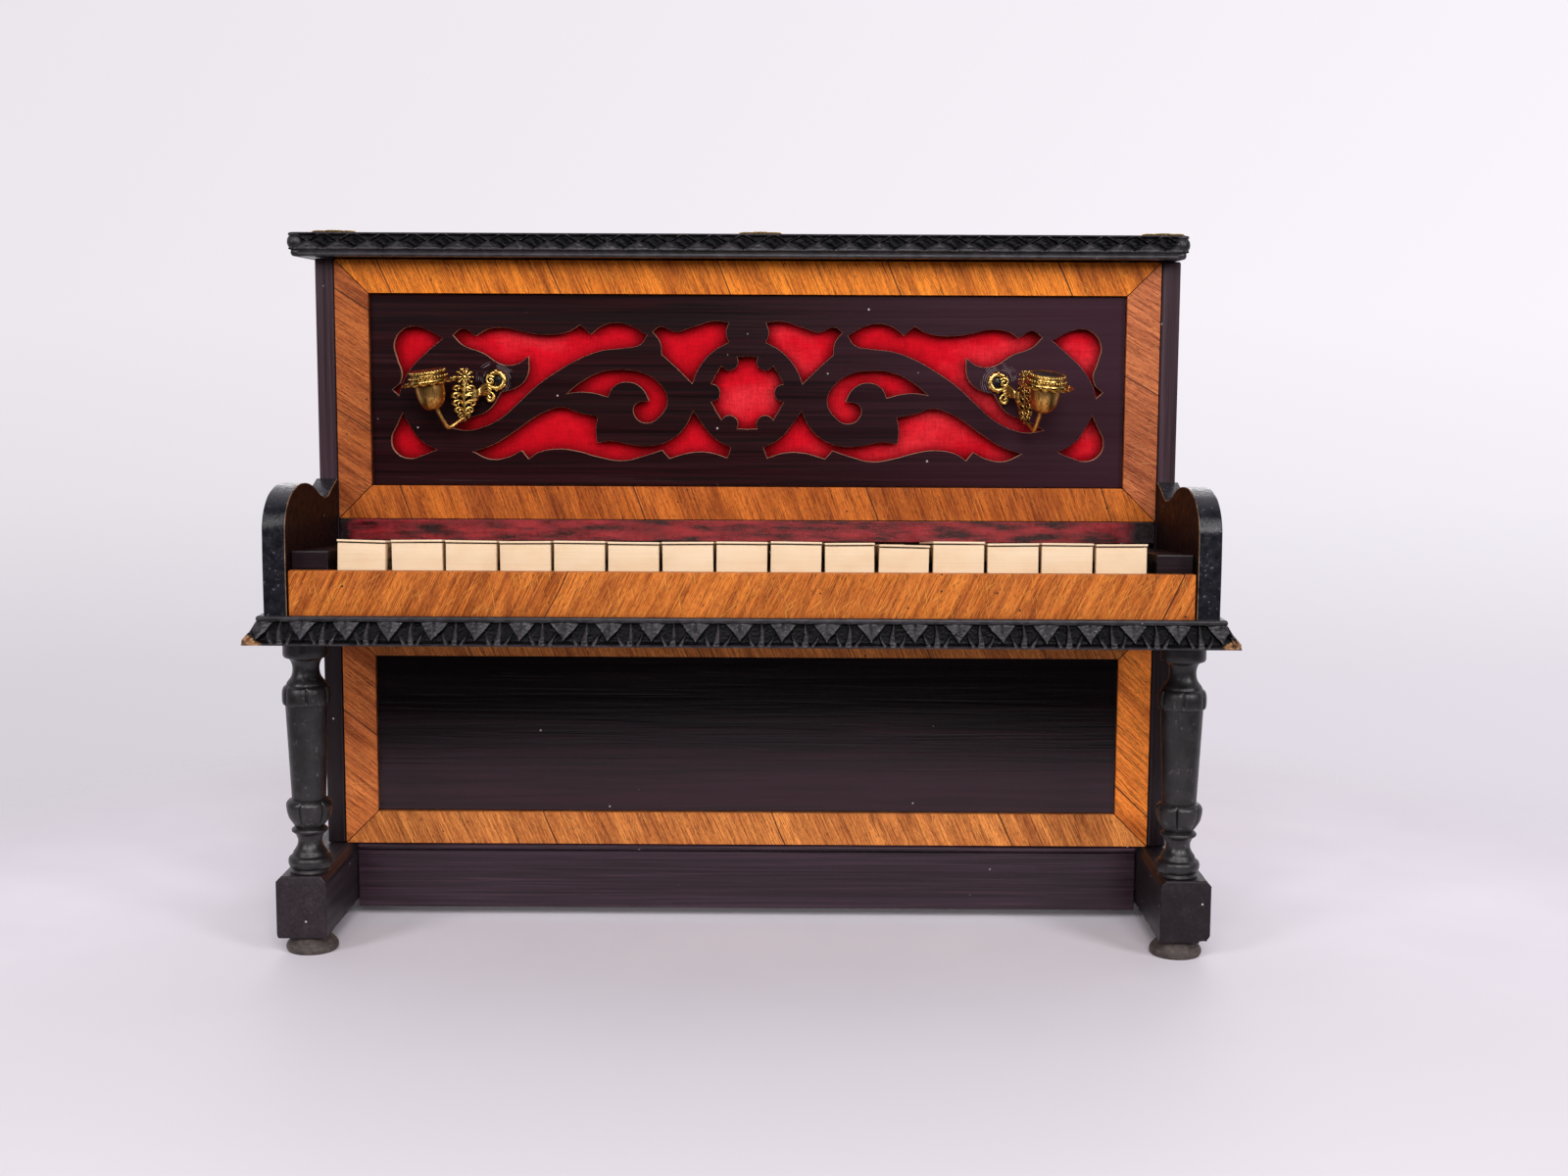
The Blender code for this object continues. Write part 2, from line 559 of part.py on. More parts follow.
CUP_PROFILE = [
    (0.0, 0.2), (4.6, 0.2), (4.6, 10.6), (6.6, 10.6), (6.9, 9.6), (6.2, 8.4), (6.5, 7.2), (6.0, 6.4),
    (9.6, 5.9), (9.9, 5.2), (9.2, 4.4), (5.8, 4.0), (6.0, 1.5), (5.4, -2.0), (3.8, -4.6), (1.6, -5.8),
    (0.0, -6.2)]
LEAF_OUTLINE = [    # reach from the swivel and height, in millimetres
    (0.8, 1.4), (0.8, -1.2), (2.6, -2.0), (2.4, -6.5), (3.4, -10.2), (4.6, -10.2), (7.2, -6.0),
    (7.6, -1.0), (5.4, 3.8), (2.4, 3.8)]
FLOWER_CENTRE = (3.9, 6.2)
FLOWER_RADIUS = 3.3


def make_sconce_arm():
    """The swinging piece: knuckle, hanging leaf with a flower, a hooked wire, drip pan and candle cup."""
    cup = turned_mesh("sconce_arm", millimetre_profile(CUP_PROFILE), segments=16)
    cup.transform(Matrix.Translation((SCONCE_REACH, 0, 0)))
    leaf = prism_mesh("leaf", millimetre_profile(LEAF_OUTLINE), "Y", -0.0007, 0.0007)
    reach, height = (value * MILLIMETRE for value in FLOWER_CENTRE)
    flower = rod_mesh("flower", FLOWER_RADIUS * MILLIMETRE, (reach, -0.0009, height),
                      (reach, 0.0009, height), "Y")
    wire = tube_mesh("wire", [(0.0040, 0, -0.0090), (0.0062, 0, -0.0125), (0.0100, 0, -0.0140),
                              (0.0136, 0, -0.0110), (0.0158, 0, -0.0050)],
                     [0.0006, 0.0008, 0.0010, 0.0009, 0.0009])
    knuckle = rod_mesh("knuckle", KNUCKLE_RADIUS, (0, 0, -KNUCKLE_HALF), (0, 0, KNUCKLE_HALF), "Z")
    bore = rod_mesh("bore", 0.0010, (0, 0, -0.01), (0, 0, 0.01), "Z")
    return combined_mesh("sconce_arm", cup, [
        ("UNION", leaf), ("UNION", flower), ("UNION", wire), ("UNION", knuckle), ("DIFFERENCE", bore)])


def make_sconce_bracket(sign):
    """The fixed piece: a rose on the panel, a scrolled neck, and a lug with an upright swivel pin."""
    rose_x, rose_z = sign * -SCONCE_NECK, ROSE_Z - SCONCE_Z
    panel_y = PANEL_FRONT_Y - GAP - SCONCE_PIVOT_Y
    rose = rod_mesh("sconce_bracket", 0.0041, (rose_x, panel_y - 0.0018, rose_z),
                    (rose_x, panel_y, rose_z), "Y", segments=20)
    lug_top = -KNUCKLE_HALF - GAP
    lug = rod_mesh("lug", KNUCKLE_RADIUS, (0, 0, lug_top - 0.0010), (0, 0, lug_top), "Z")
    pin = rod_mesh("pin", 0.0007, (0, 0, lug_top - 0.0005), (0, 0, KNUCKLE_HALF + 0.0004), "Z")
    neck = tube_mesh("neck", [(rose_x, panel_y - 0.0008, rose_z - 0.0010),
                              (rose_x * 0.85, panel_y * 0.62, rose_z * 0.35),
                              (rose_x * 0.45, panel_y * 0.30, -0.0023), (0, 0.0003, lug_top - 0.0006)],
                     [0.0014, 0.0012, 0.0007, 0.0005])
    return combined_mesh("sconce_bracket", rose, [("UNION", neck), ("UNION", lug), ("UNION", pin)])


def make_sconces():
    arm = make_sconce_arm()
    for side, sign in SIDES:
        location = (sign * SCONCE_X, SCONCE_PIVOT_Y, SCONCE_Z)
        place(f"{side}_sconce_bracket", make_sconce_bracket(sign), "brass", location=location)
        swing = place(f"{side}_sconce_arm", arm, "brass", location=location,
                      rotation=(0, 0, SCONCE_DIRECTIONS[side]))
        shade_round(swing)


# Keys and action

def key_centre(index):
    return (index - (KEY_COUNT - 1) / 2) * KEY_PITCH


def make_keys():
    """Levers threaded on one wire. Each has an ivory-fronted head, a hammer and a foot that it rests on."""
    top, bottom = 0.0037, -0.0033       # of the level lever, from the pivot
    front, tail = -0.0950, 0.0410
    half, lever_half = KEY_WIDTH / 2, 0.0045
    slant = math.tan(-KEY_REST_TILT)    # keeps the face of the head upright while the key is at rest
    head = box_mesh("key", ((-half, front + 0.0030, bottom), (half, -0.0180, top)))
    plate = box_mesh("plate", ((-half - 0.0001, front - 0.0006, top - 0.0011),
                               (half + 0.0001, -0.0175, top + 0.0001)))
    apron_top, apron_bottom = top - 0.0005, top - 0.0200
    apron_outline = [(front + 0.0004, apron_top), (front + 0.0054, apron_top), (front + 0.0054, apron_bottom),
                     (front + 0.0004 + slant * (apron_top - apron_bottom), apron_bottom)]
    apron = prism_mesh("apron", apron_outline, "X", -half + 0.0001, half - 0.0001)
    lever = box_mesh("lever", ((-lever_half, -0.0185, bottom + 0.0001), (lever_half, tail, top - 0.0001)))
    hammer = box_mesh("hammer", ((-lever_half + 0.0010, 0.0275, 0), (lever_half - 0.0010, 0.0325, 0.0180)))
    foot = box_mesh("foot", ((-lever_half + 0.0005, 0.0360, -0.0103), (lever_half - 0.0005, 0.0395, 0)))
    hole = rod_mesh("hole", PIN_HOLE_RADIUS, (-0.02, 0, 0), (0.02, 0, 0), "X")
    mesh = combined_mesh("key", head, [
        ("UNION", plate), ("UNION", apron), ("UNION", lever), ("UNION", hammer), ("UNION", foot),
        ("DIFFERENCE", hole)])
    for index in range(KEY_COUNT):
        place(f"key_{index + 1:02d}", mesh, "ivory", location=(key_centre(index), PIVOT_Y, PIVOT_Z),
              rotation=(KEY_REST_TILT, 0, 0))


def make_balance():
    """A rail under the levers, with four posts that hold the wire the keys turn on."""
    half = 0.1500
    base = box_mesh("balance_rail", ((-half, 0.0140, SLIP_Z[0]), (half, 0.0260, 0.1425)))
    steps = []
    for gap_number in (-7.5, -2.5, 2.5, 7.5):
        x = gap_number * KEY_PITCH
        post = box_mesh("post", ((x - 0.0020, 0.0165, 0.1410), (x + 0.0020, 0.0235, 0.1540)))
        steps.append(("UNION", post))
    hole = rod_mesh("hole", PIN_HOLE_RADIUS, (-0.16, PIVOT_Y, PIVOT_Z), (0.16, PIVOT_Y, PIVOT_Z), "X")
    steps.append(("DIFFERENCE", hole))
    place("balance_rail", combined_mesh("balance_rail", base, steps), "plain_wood")
    wire = rod_mesh("balance_wire", PIN_RADIUS, (-half, PIVOT_Y, PIVOT_Z), (half, PIVOT_Y, PIVOT_Z), "X")
    place("balance_wire", wire, "steel")


def make_tone_bars():
    """Fifteen graduated bars tied by two tapes, lying on a wooden frame above the hammers."""
    centre_y, support = 0.0500, 0.0200
    low, high = 0.1680, 0.1700
    frame_x, frame_top = 0.1634, low - GAP
    outline = [(-frame_x, centre_y - support - 0.0030), (frame_x, centre_y - support - 0.0030),
               (frame_x, centre_y + support + 0.0030), (-frame_x, centre_y + support + 0.0030)]
    rails = prism_mesh("tone_bar_frame", outline, "Z", frame_top - 0.0060, frame_top)
    well = box_mesh("well", ((-frame_x + 0.0080, centre_y - support + 0.0030, 0.15),
                             (frame_x - 0.0080, centre_y + support - 0.0030, 0.18)))
    place("tone_bar_frame", combined_mesh("tone_bar_frame", rails, [("DIFFERENCE", well)]), "plain_wood")
    bars = []
    for index in range(KEY_COUNT):
        reach = 0.0290 - 0.0003 * index
        x = key_centre(index)
        bars.append(((x - 0.0065, centre_y - reach, low), (x + 0.0065, centre_y + reach, high)))
    tape_x = key_centre(KEY_COUNT - 1) + 0.0060
    tapes = [((-tape_x, y - 0.0015, high - 0.0006), (tape_x, y + 0.0015, high + 0.0004))
             for y in (centre_y - support, centre_y + support)]
    mesh = combined_mesh("tone_bars", box_mesh("bars", *bars), [("UNION", box_mesh("tapes", *tapes))])
    place("tone_bars", mesh, "steel")


def main():
    make_case()
    make_lid()
    make_lid_hinge()
    make_frame("upper", *UPPER_FRAME_Z)
    make_frame("lower", *LOWER_FRAME_Z)
    make_lower_panel()
    make_fret_panel()
    make_keybed()
    make_arms()
    make_moulding()
    make_legs_and_feet()
    make_sconces()
    make_keys()
    make_balance()
    make_tone_bars()


clear_scene()
PIANO = new_collection("miniature_upright_piano")
CUTTERS = new_collection("cutters")
MATERIALS = make_materials()
main()
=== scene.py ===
"""A miniature upright piano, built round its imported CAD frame: carving, veneers, keys, gilt sconces, studio.

Metres, +Z up, the keyboard faces -Y. Places come from the CAD nodes; small details are in millimetres.
"""
import math

import bmesh
import bpy
from mathutils import Matrix, Vector, noise


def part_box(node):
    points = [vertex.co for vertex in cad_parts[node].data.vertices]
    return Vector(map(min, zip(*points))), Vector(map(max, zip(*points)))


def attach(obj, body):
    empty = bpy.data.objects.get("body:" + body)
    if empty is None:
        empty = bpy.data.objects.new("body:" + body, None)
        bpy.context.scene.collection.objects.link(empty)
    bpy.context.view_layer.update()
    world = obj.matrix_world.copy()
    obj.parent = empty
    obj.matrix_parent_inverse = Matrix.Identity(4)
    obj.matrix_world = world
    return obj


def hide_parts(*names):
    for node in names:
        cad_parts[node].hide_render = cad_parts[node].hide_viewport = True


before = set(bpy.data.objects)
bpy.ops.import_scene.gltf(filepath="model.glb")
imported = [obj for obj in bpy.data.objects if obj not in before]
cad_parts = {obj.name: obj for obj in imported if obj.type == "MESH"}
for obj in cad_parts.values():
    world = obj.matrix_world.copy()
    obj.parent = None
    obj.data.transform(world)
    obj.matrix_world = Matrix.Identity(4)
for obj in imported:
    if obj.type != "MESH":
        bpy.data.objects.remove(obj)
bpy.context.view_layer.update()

MM = 0.001
FULL_TURN = 2 * math.pi
CORNER = "corner"               # marks a point where an outline turns sharply
SIDES = (("left", -1), ("right", 1))
CASE = "case"
LID = "lid_board"
FINISHES = {}                   # materials by short name, filled by make_finishes


def add_object(name, data):
    made = bpy.data.objects.new(name, data)
    bpy.context.scene.collection.objects.link(made)
    return made


# Studio: camera, floor, lights and backdrop

CAMERA_PLACE = (0.0178, -0.7809, 0.2308)
CAMERA_PITCH, CAMERA_YAW, CAMERA_ROLL = 0.1187, -0.00359, 0.00438
CAMERA_LENS = 45.0
CAMERA_SENSOR = 36.0
LIGHT_TARGET = (0.0, 0.0, 0.13)
LIGHT_COLOUR = (1.0, 0.98, 1.0)
SOFTBOXES = {                   # place, width, height, power
    "front": ((0.15, -1.40, 0.75), 0.5, 0.4, 7.0),
    "above": ((0.0, -1.10, 1.15), 0.9, 0.6, 8.0),
    "left": ((-0.90, -1.00, 0.65), 0.4, 0.5, 6.5),
    "right": ((0.95, -1.00, 0.70), 0.4, 0.5, 8.0),
    "behind": ((0.1, 1.30, 0.60), 1.4, 0.5, 4.0),
}
FLOOR_RADIUS = 1.2
FLOOR_FADE = (0.31, 0.50)       # how far from the middle the floor starts to fade out, and is gone
BACKDROP = (                    # colours from below the horizon to above it: painted light and shade of a paper sweep
    (0.20, (0.76, 0.72, 0.79)), (0.29, (0.76, 0.72, 0.785)), (0.35, (0.79, 0.75, 0.81)),
    (0.43, (0.91, 0.87, 0.92)), (0.52, (0.97, 0.93, 0.98)), (0.70, (0.95, 0.91, 0.96)))
# painted shade: the backdrop is darker towards the left
BACKDROP_SIDEWAYS = ((0.14, (0.87, 0.87, 0.87)), (0.86, (0.99, 0.99, 1.0)))
ROOM = (                        # colours from in front of the piano to behind it
    (0.10, (0.045, 0.042, 0.048)), (0.45, (0.20, 0.19, 0.21)), (0.90, (0.68, 0.65, 0.70)))


def make_camera():
    data = bpy.data.cameras.new("camera")
    data.lens = CAMERA_LENS
    data.sensor_width = CAMERA_SENSOR
    data.clip_start = 0.01
    camera = add_object("camera", data)
    camera.matrix_world = (
        Matrix.Translation(CAMERA_PLACE) @ Matrix.Rotation(-CAMERA_YAW, 4, "Z")
        @ Matrix.Rotation(math.pi / 2 - CAMERA_PITCH, 4, "X") @ Matrix.Rotation(CAMERA_ROLL, 4, "Z"))
    bpy.context.scene.camera = camera


def make_lights():
    for name, (place, width, height, power) in SOFTBOXES.items():
        data = bpy.data.lights.new(f"softbox_{name}", "AREA")
        data.shape = "RECTANGLE"
        data.size, data.size_y = width, height
        data.energy = power
        data.color = LIGHT_COLOUR
        light = add_object(f"softbox_{name}", data)
        light.location = place
        light.rotation_euler = (Vector(LIGHT_TARGET) - Vector(place)).to_track_quat("-Z", "Y").to_euler()


# Surfaces

class Nodes:
    """Short calls for making the nodes of one tree."""

    def __init__(self, tree):
        self.tree = tree

    def feed(self, socket, value):
        if isinstance(value, bpy.types.NodeSocket):
            self.tree.links.new(value, socket)
        elif socket.type == "RGBA":
            socket.default_value = (*value, 1.0)
        else:
            socket.default_value = value

    def node(self, kind, inputs=None, output=0, **settings):
        node = self.tree.nodes.new("ShaderNode" + kind)
        for key, value in settings.items():
            setattr(node, key, value)
        for socket, value in (inputs or {}).items():
            self.feed(node.inputs[socket], value)
        return node.outputs[output]

    def ramp(self, value, *stops):
        """A colour for each value. Stops are (value, colour)."""
        output = self.node("ValToRGB", {"Fac": value})
        elements = output.node.color_ramp.elements
        while len(elements) < len(stops):
            elements.new(1.0)
        for element, (position, colour) in zip(elements, stops):
            element.position = position
            element.color = (*colour, 1.0)
        return output

    def mix(self, amount, first, second, blend="MIX"):
        settings = {"data_type": "RGBA", "blend_type": blend}
        return self.node("Mix", {0: amount, 6: first, 7: second}, output=2, **settings)


class Finish(Nodes):
    """One procedural material. Its colour is built up in layers."""

    def __init__(self, name, **constants):
        self.material = bpy.data.materials.new(name)
        self.material.use_nodes = True
        super().__init__(self.material.node_tree)
        self.shader = self.tree.nodes["Principled BSDF"]
        self.colour = None
        for socket, value in constants.items():
            self.feed(self.shader.inputs[socket.replace("_", " ")], value)

    def over(self, cover, colour):
        """Lay a colour over the others where cover is 1."""
        self.colour = self.mix(cover, self.colour, colour)

    def place(self, size, turn=(0, 0, 0), shift=(0, 0, 0)):
        """Object coordinates turned by degrees, and counted in features of this size in millimetres."""
        source = self.node("TexCoord", output="Object")
        return self.node("Mapping", {
            "Vector": source, "Location": Vector(shift) * MM, "Scale": Vector(size) * MM,
            "Rotation": [math.radians(angle) for angle in turn]}, vector_type="TEXTURE")

    def along(self, axis, size=1.0, turn=(0, 0, 0), shift=(0, 0, 0)):
        """The distance along an axis, in lengths of size millimetres."""
        return self.node("SeparateXYZ", {0: self.place((size,) * 3, turn, shift)}, output=axis)

    def noise(self, size, turn=(0, 0, 0), shift=(0, 0, 0), detail=3.0, rough=0.55, warp=0.0):
        if not isinstance(size, (tuple, list)):
            size = (size,) * 3
        return self.node("TexNoise", {
            "Vector": self.place(size, turn, shift), "Scale": 1.0, "Detail": detail, "Roughness": rough,
            "Distortion": warp})

    def maths(self, operation, *values):
        return self.node("Math", dict(enumerate(values)), operation=operation)

    def times(self, first, second):
        return self.maths("MULTIPLY", first, second)

    def plus(self, first, second):
        return self.maths("ADD", first, second)

    def minus(self, first, second):
        return self.maths("SUBTRACT", first, second)

    def size_of(self, value):
        return self.maths("ABSOLUTE", value)

    def blend(self, *parts):
        """A weighted sum of (value, weight) parts."""
        total = self.times(*parts[0])
        for value, weight in parts[1:]:
            total = self.maths("MULTIPLY_ADD", value, weight, total)
        return total

    def between(self, value, low, high, new_low=0.0, new_high=1.0):
        """value from low to high, eased and held between the new ends."""
        return self.node("MapRange", {
            "Value": value, "From Min": low, "From Max": high, "To Min": new_low, "To Max": new_high},
            interpolation_type="SMOOTHSTEP")

    def uneven(self, size, low, high, **shape):
        """A value that wanders between low and high in patches of this size."""
        return self.between(self.noise(size, **shape), 0.3, 0.7, low, high)

    def bump(self, height, depth):
        """A bump whose full height is depth millimetres."""
        return self.node("Bump", {"Height": height, "Distance": depth * MM, "Strength": 1.0})

    def wear(self, radius=0.6, low=0.80, high=0.985, size=3.0, cover=0.5):
        """Rubbed edges, where rounding by radius millimetres turns the surface, broken up by noise.

        cover is the share of each edge that is rubbed.
        """
        patches = self.noise(size, detail=5.0, rough=0.7)
        rounded = self.node("Bevel", {"Radius": radius * MM}, samples=6)
        flat = self.node("NewGeometry", output="Normal")
        facing = self.node("VectorMath", {0: rounded, 1: flat}, output="Value", operation="DOT_PRODUCT")
        return self.times(self.between(facing, high, low),
                          self.between(patches, 0.62 - 0.3 * cover, 0.72 - 0.2 * cover))

    def hollows(self, reach, low, high):
        """1 in the open and 0 in recesses, looking reach millimetres round each point."""
        open_share = self.node("AmbientOcclusion", {"Distance": reach * MM}, output="AO", samples=6)
        return self.between(open_share, low, high)

    def specks(self, radius, share, spacing=4.0):
        """Sparse round marks. share is how many of the places that are spacing millimetres apart have one."""
        place = self.place((spacing,) * 3)
        cells = self.node("TexVoronoi", {"Vector": place, "Scale": 1.0}, output="Distance")
        shade = self.node("SeparateColor", {0: cells.node.outputs["Color"]})
        spots = self.between(cells, 1.2 * radius / spacing, 0.7 * radius / spacing)
        return self.times(spots, self.maths("LESS_THAN", shade, share))

    def finish(self, roughness=None, normal=None):
        for socket, value in (("Base Color", self.colour), ("Roughness", roughness), ("Normal", normal)):
            if value is not None:
                self.feed(self.shader.inputs[socket], value)
        return self.material


def floor_finish():
    """Pale paper, painted with shade towards the front, that fades out away from the piano, where the backdrop
    takes over.
    """
    paper = Finish("studio_paper", Roughness=0.65)
    mottle = paper.noise(60, detail=4.0)
    paper.colour = paper.ramp(mottle, (0.3, (0.83, 0.78, 0.84)), (0.7, (0.87, 0.825, 0.88)))
    # painted shade: the paper grows darker towards the front
    paper.over(paper.between(paper.along("Y"), 60.0, -240.0), (0.74, 0.71, 0.75))
    paper.finish()
    place = paper.node("TexCoord", output="Object")
    away = paper.node("VectorMath", {0: place}, output="Value", operation="LENGTH")
    cleared = paper.between(away, *FLOOR_FADE)
    clear = paper.node("BsdfTransparent")
    layers = paper.node("MixShader", {0: cleared, 1: paper.shader.outputs[0], 2: clear})
    paper.feed(paper.tree.nodes["Material Output"].inputs["Surface"], layers)
    return paper.material


def make_floor():
    bm = bmesh.new()
    bmesh.ops.create_circle(bm, cap_ends=True, segments=64, radius=FLOOR_RADIUS)
    mesh = bpy.data.meshes.new("floor")
    bm.to_mesh(mesh)
    bm.free()
    mesh.materials.append(floor_finish())
    add_object("floor", mesh)


def make_world():
    """A pale backdrop to look at, with its light and shade painted in, and a room that is dark in front of the
    piano and paler behind it.
    """
    world = bpy.data.worlds.new("studio")
    bpy.context.scene.world = world
    world.use_nodes = True
    studio = Nodes(world.node_tree)
    direction = studio.node("SeparateXYZ", {0: studio.node("TexCoord", output="Generated")}).node

    def shade(axis, stops):
        ends = {"Value": direction.outputs[axis], "From Min": -0.5, "From Max": 0.5}
        return studio.ramp(studio.node("MapRange", ends), *stops)

    backdrop = studio.mix(1.0, shade("Z", BACKDROP), shade("X", BACKDROP_SIDEWAYS), "MULTIPLY")
    to_camera = studio.node("LightPath", output="Is Camera Ray")
    seen = studio.mix(to_camera, shade("Y", ROOM), backdrop)
    studio.feed(world.node_tree.nodes["Background"].inputs["Color"], seen)


def shaded(colour, strength, redder=0.0):
    """A colour made darker or lighter, and redder by taking down its green and blue."""
    red, green, blue = (value * strength for value in colour)
    return (min(red, 1.0), green * (1 - redder), blue * (1 - redder))


def veneer_finish(name, tone, grain_angle, leaf, shift, figure=1.0, scuffs=0.3):
    """Cross-banded tulipwood. grain_angle is from the horizontal, and leaf is the width of one veneer."""
    wood = Finish(name, Specular_IOR_Level=0.16)
    turn = (0, -grain_angle, 0)

    def grain(length, width, **shape):
        return wood.noise((length, width, width), turn, (shift, 0, shift * 0.7), **shape)

    waves = grain(60, 8, detail=3.0, warp=0.9 * figure)
    streaks = grain(26, 0.75, detail=6.0, rough=0.75, warp=0.35 * figure)
    lines = grain(13, 0.36, detail=4.0, rough=0.65)
    pores = grain(2.2, 0.20, detail=2.0, rough=0.5)
    blotch = wood.noise(6, detail=5.0, rough=0.7)
    wander = wood.times(wood.noise(30, detail=1.0), 0.02)
    across = wood.plus(wood.along("Z", leaf, turn, (shift, 0, 0)), wander)
    leaf_tone = wood.node("TexWhiteNoise", {"W": wood.maths("FLOOR", across)}, noise_dimensions="1D")
    from_middle = wood.size_of(wood.minus(wood.maths("FRACT", across), 0.5))
    seam = wood.between(from_middle, 0.5 - 0.36 / leaf, 0.5 - 0.16 / leaf)
    total = wood.blend((waves, 0.38), (streaks, 0.52), (blotch, 0.10), (leaf_tone, 0.05))
    wood.colour = wood.ramp(total, (0.38, shaded(tone, 0.30, 0.30)), (0.45, shaded(tone, 0.72, 0.12)),
                            (0.52, shaded(tone, 1.08)), (0.61, shaded(tone, 1.55, -0.10)))
    wood.over(wood.between(lines, 0.50, 0.66, 0.0, 0.9), shaded(tone, 0.26, 0.35))
    wood.over(wood.between(pores, 0.55, 0.66, 0.0, 0.8), shaded(tone, 0.22, 0.3))
    for angle in (grain_angle - 28, grain_angle + 35):
        marks = wood.noise((9, 0.28, 0.28), (0, -angle, 0), (angle, 0, 0), detail=2.0)
        wood.over(wood.between(marks, 0.62, 0.72, 0.0, scuffs), shaded(tone, 1.8, -0.8))
    wood.over(wood.times(seam, 0.9), (0.04, 0.012, 0.006))
    # painted shade: darker in recesses and under overhangs such as the lid, broken into patches
    patches = wood.between(wood.noise(7, detail=5.0), 0.35, 0.6, 0.3, 0.9)
    wood.over(wood.times(wood.hollows(2.5, 0.75, 0.35), patches), shaded(tone, 0.30, 0.3))
    wood.over(wood.wear(radius=0.5, low=0.75, high=0.97, size=2.5), (0.10, 0.038, 0.018))
    wood.over(wood.specks(0.45, 0.08), (0.05, 0.02, 0.012))
    rough = wood.between(wood.noise(9, detail=4.0), 0.35, 0.65, 0.38, 0.52)
    return wood.finish(rough, wood.bump(wood.blend((streaks, 1.0), (pores, -0.5)), 0.05))


SCRATCH_CENTRE = (100.6, 220.0)     # across from the middle of the piano, and height, in millimetres
SCRATCH_PITCH = 7.5                 # how fast one worn arc follows another


def scratches(wood):
    """Worn arcs on the fret, round each sconce."""
    sideways = wood.minus(wood.size_of(wood.along("X")), SCRATCH_CENTRE[0])
    upwards = wood.minus(wood.along("Z"), SCRATCH_CENTRE[1])
    distance = wood.maths("SQRT", wood.plus(wood.times(sideways, sideways), wood.times(upwards, upwards)))
    distance = wood.plus(distance, wood.times(wood.noise(9), 2.0))
    arcs = wood.between(wood.maths("SINE", wood.times(distance, SCRATCH_PITCH)), 0.45, 0.9)
    band = wood.times(wood.between(distance, 5.2, 6.0), wood.between(distance, 9.5, 7.5))
    return wood.times(arcs, wood.times(band, wood.between(wood.noise(5, detail=2.0), 0.46, 0.56)))


def dark_wood_finish(name, base, light, grain="X", rough=(0.22, 0.36), dusty=0.15, specular=0.35, line=1.1,
                     specks=0.02, low=None, painted_reflection=None, scratched=False):
    """Stained and polished pine.

    grain is the axis that its lines follow, dusty is how far dust greys it, and low is its colour under the
    keyboard, a painted shade. haze is a painted reflection of the light: a paler colour, how it grows along X
    and Z, and where it starts and is full.
    """
    wood = Finish(name, Specular_IOR_Level=specular)
    size = Vector([80.0 if axis == grain else line for axis in "XYZ"])

    def grained(scale, **shape):
        return wood.noise(tuple(size * scale), **shape)

    lines = grained(1, detail=4.0, warp=0.8)
    cloud = grained(8)
    tone = wood.blend((lines, 0.7), (cloud, 0.3))
    wood.colour = wood.ramp(tone, (0.38, base), (0.52, shaded(light, 0.55)), (0.66, light))
    if low:
        # painted shade: darker below the keyboard
        wood.over(wood.between(wood.along("Z"), 150.0, 125.0, 0.0, 0.85), low)
    wood.over(wood.between(grained(3, detail=6.0, rough=0.7), 0.55, 0.78, 0.0, dusty), (0.050, 0.036, 0.042))
    rubs = wood.times(wood.between(grained(0.35), 0.62, 0.74), wood.between(cloud, 0.5, 0.7, 0.0, 0.5))
    wood.over(rubs, (0.11, 0.085, 0.085))
    # painted reflection: a paler colour that grows across the board, standing in for reflected light
    if painted_reflection:
        pale, (across, up), (start, full) = painted_reflection
        cover = wood.blend((wood.along("X"), across), (wood.along("Z"), up), (cloud, 60.0), (lines, 60.0))
        wood.over(wood.between(cover, start, full), pale)
    if scratched:
        wood.over(scratches(wood), (0.20, 0.16, 0.17))
    wood.over(wood.wear(radius=0.5, size=2.0, cover=0.40), (0.13, 0.075, 0.055))
    wood.over(wood.specks(0.42, specks), (0.42, 0.38, 0.38))
    shine = wood.between(grained(4, detail=4.0, rough=0.6), 0.3, 0.7, *rough)
    return wood.finish(shine, wood.bump(lines, 0.04))


def ebonised_finish(name, rough=(0.16, 0.34), worn=0.5, rub=(0.22, 0.135, 0.075), specular=0.5, specks=0.05,
                    dark=(0.0030, 0.0030, 0.0048), light=(0.0125, 0.0125, 0.0185)):
    """Black stain and polish, rubbed on its edges and chipped."""
    wood = Finish(name, Specular_IOR_Level=specular)
    cloud = wood.noise(5, detail=6.0, rough=0.7)
    wood.colour = wood.ramp(cloud, (0.35, dark), (0.70, light))
    wood.over(wood.wear(radius=0.35, size=2.2, cover=worn), rub)
    chips = wood.times(wood.between(wood.noise(1.3, detail=4.0), 0.60, 0.66), wood.between(cloud, 0.48, 0.58))
    wood.over(wood.times(chips, 16.0 * specks), (0.085, 0.080, 0.085))
    wood.over(wood.specks(0.4, specks), (0.30, 0.26, 0.24))
    shine = wood.plus(wood.uneven(3, *rough, detail=4.0), wood.times(chips, 0.3))
    return wood.finish(shine, wood.bump(cloud, 0.18))


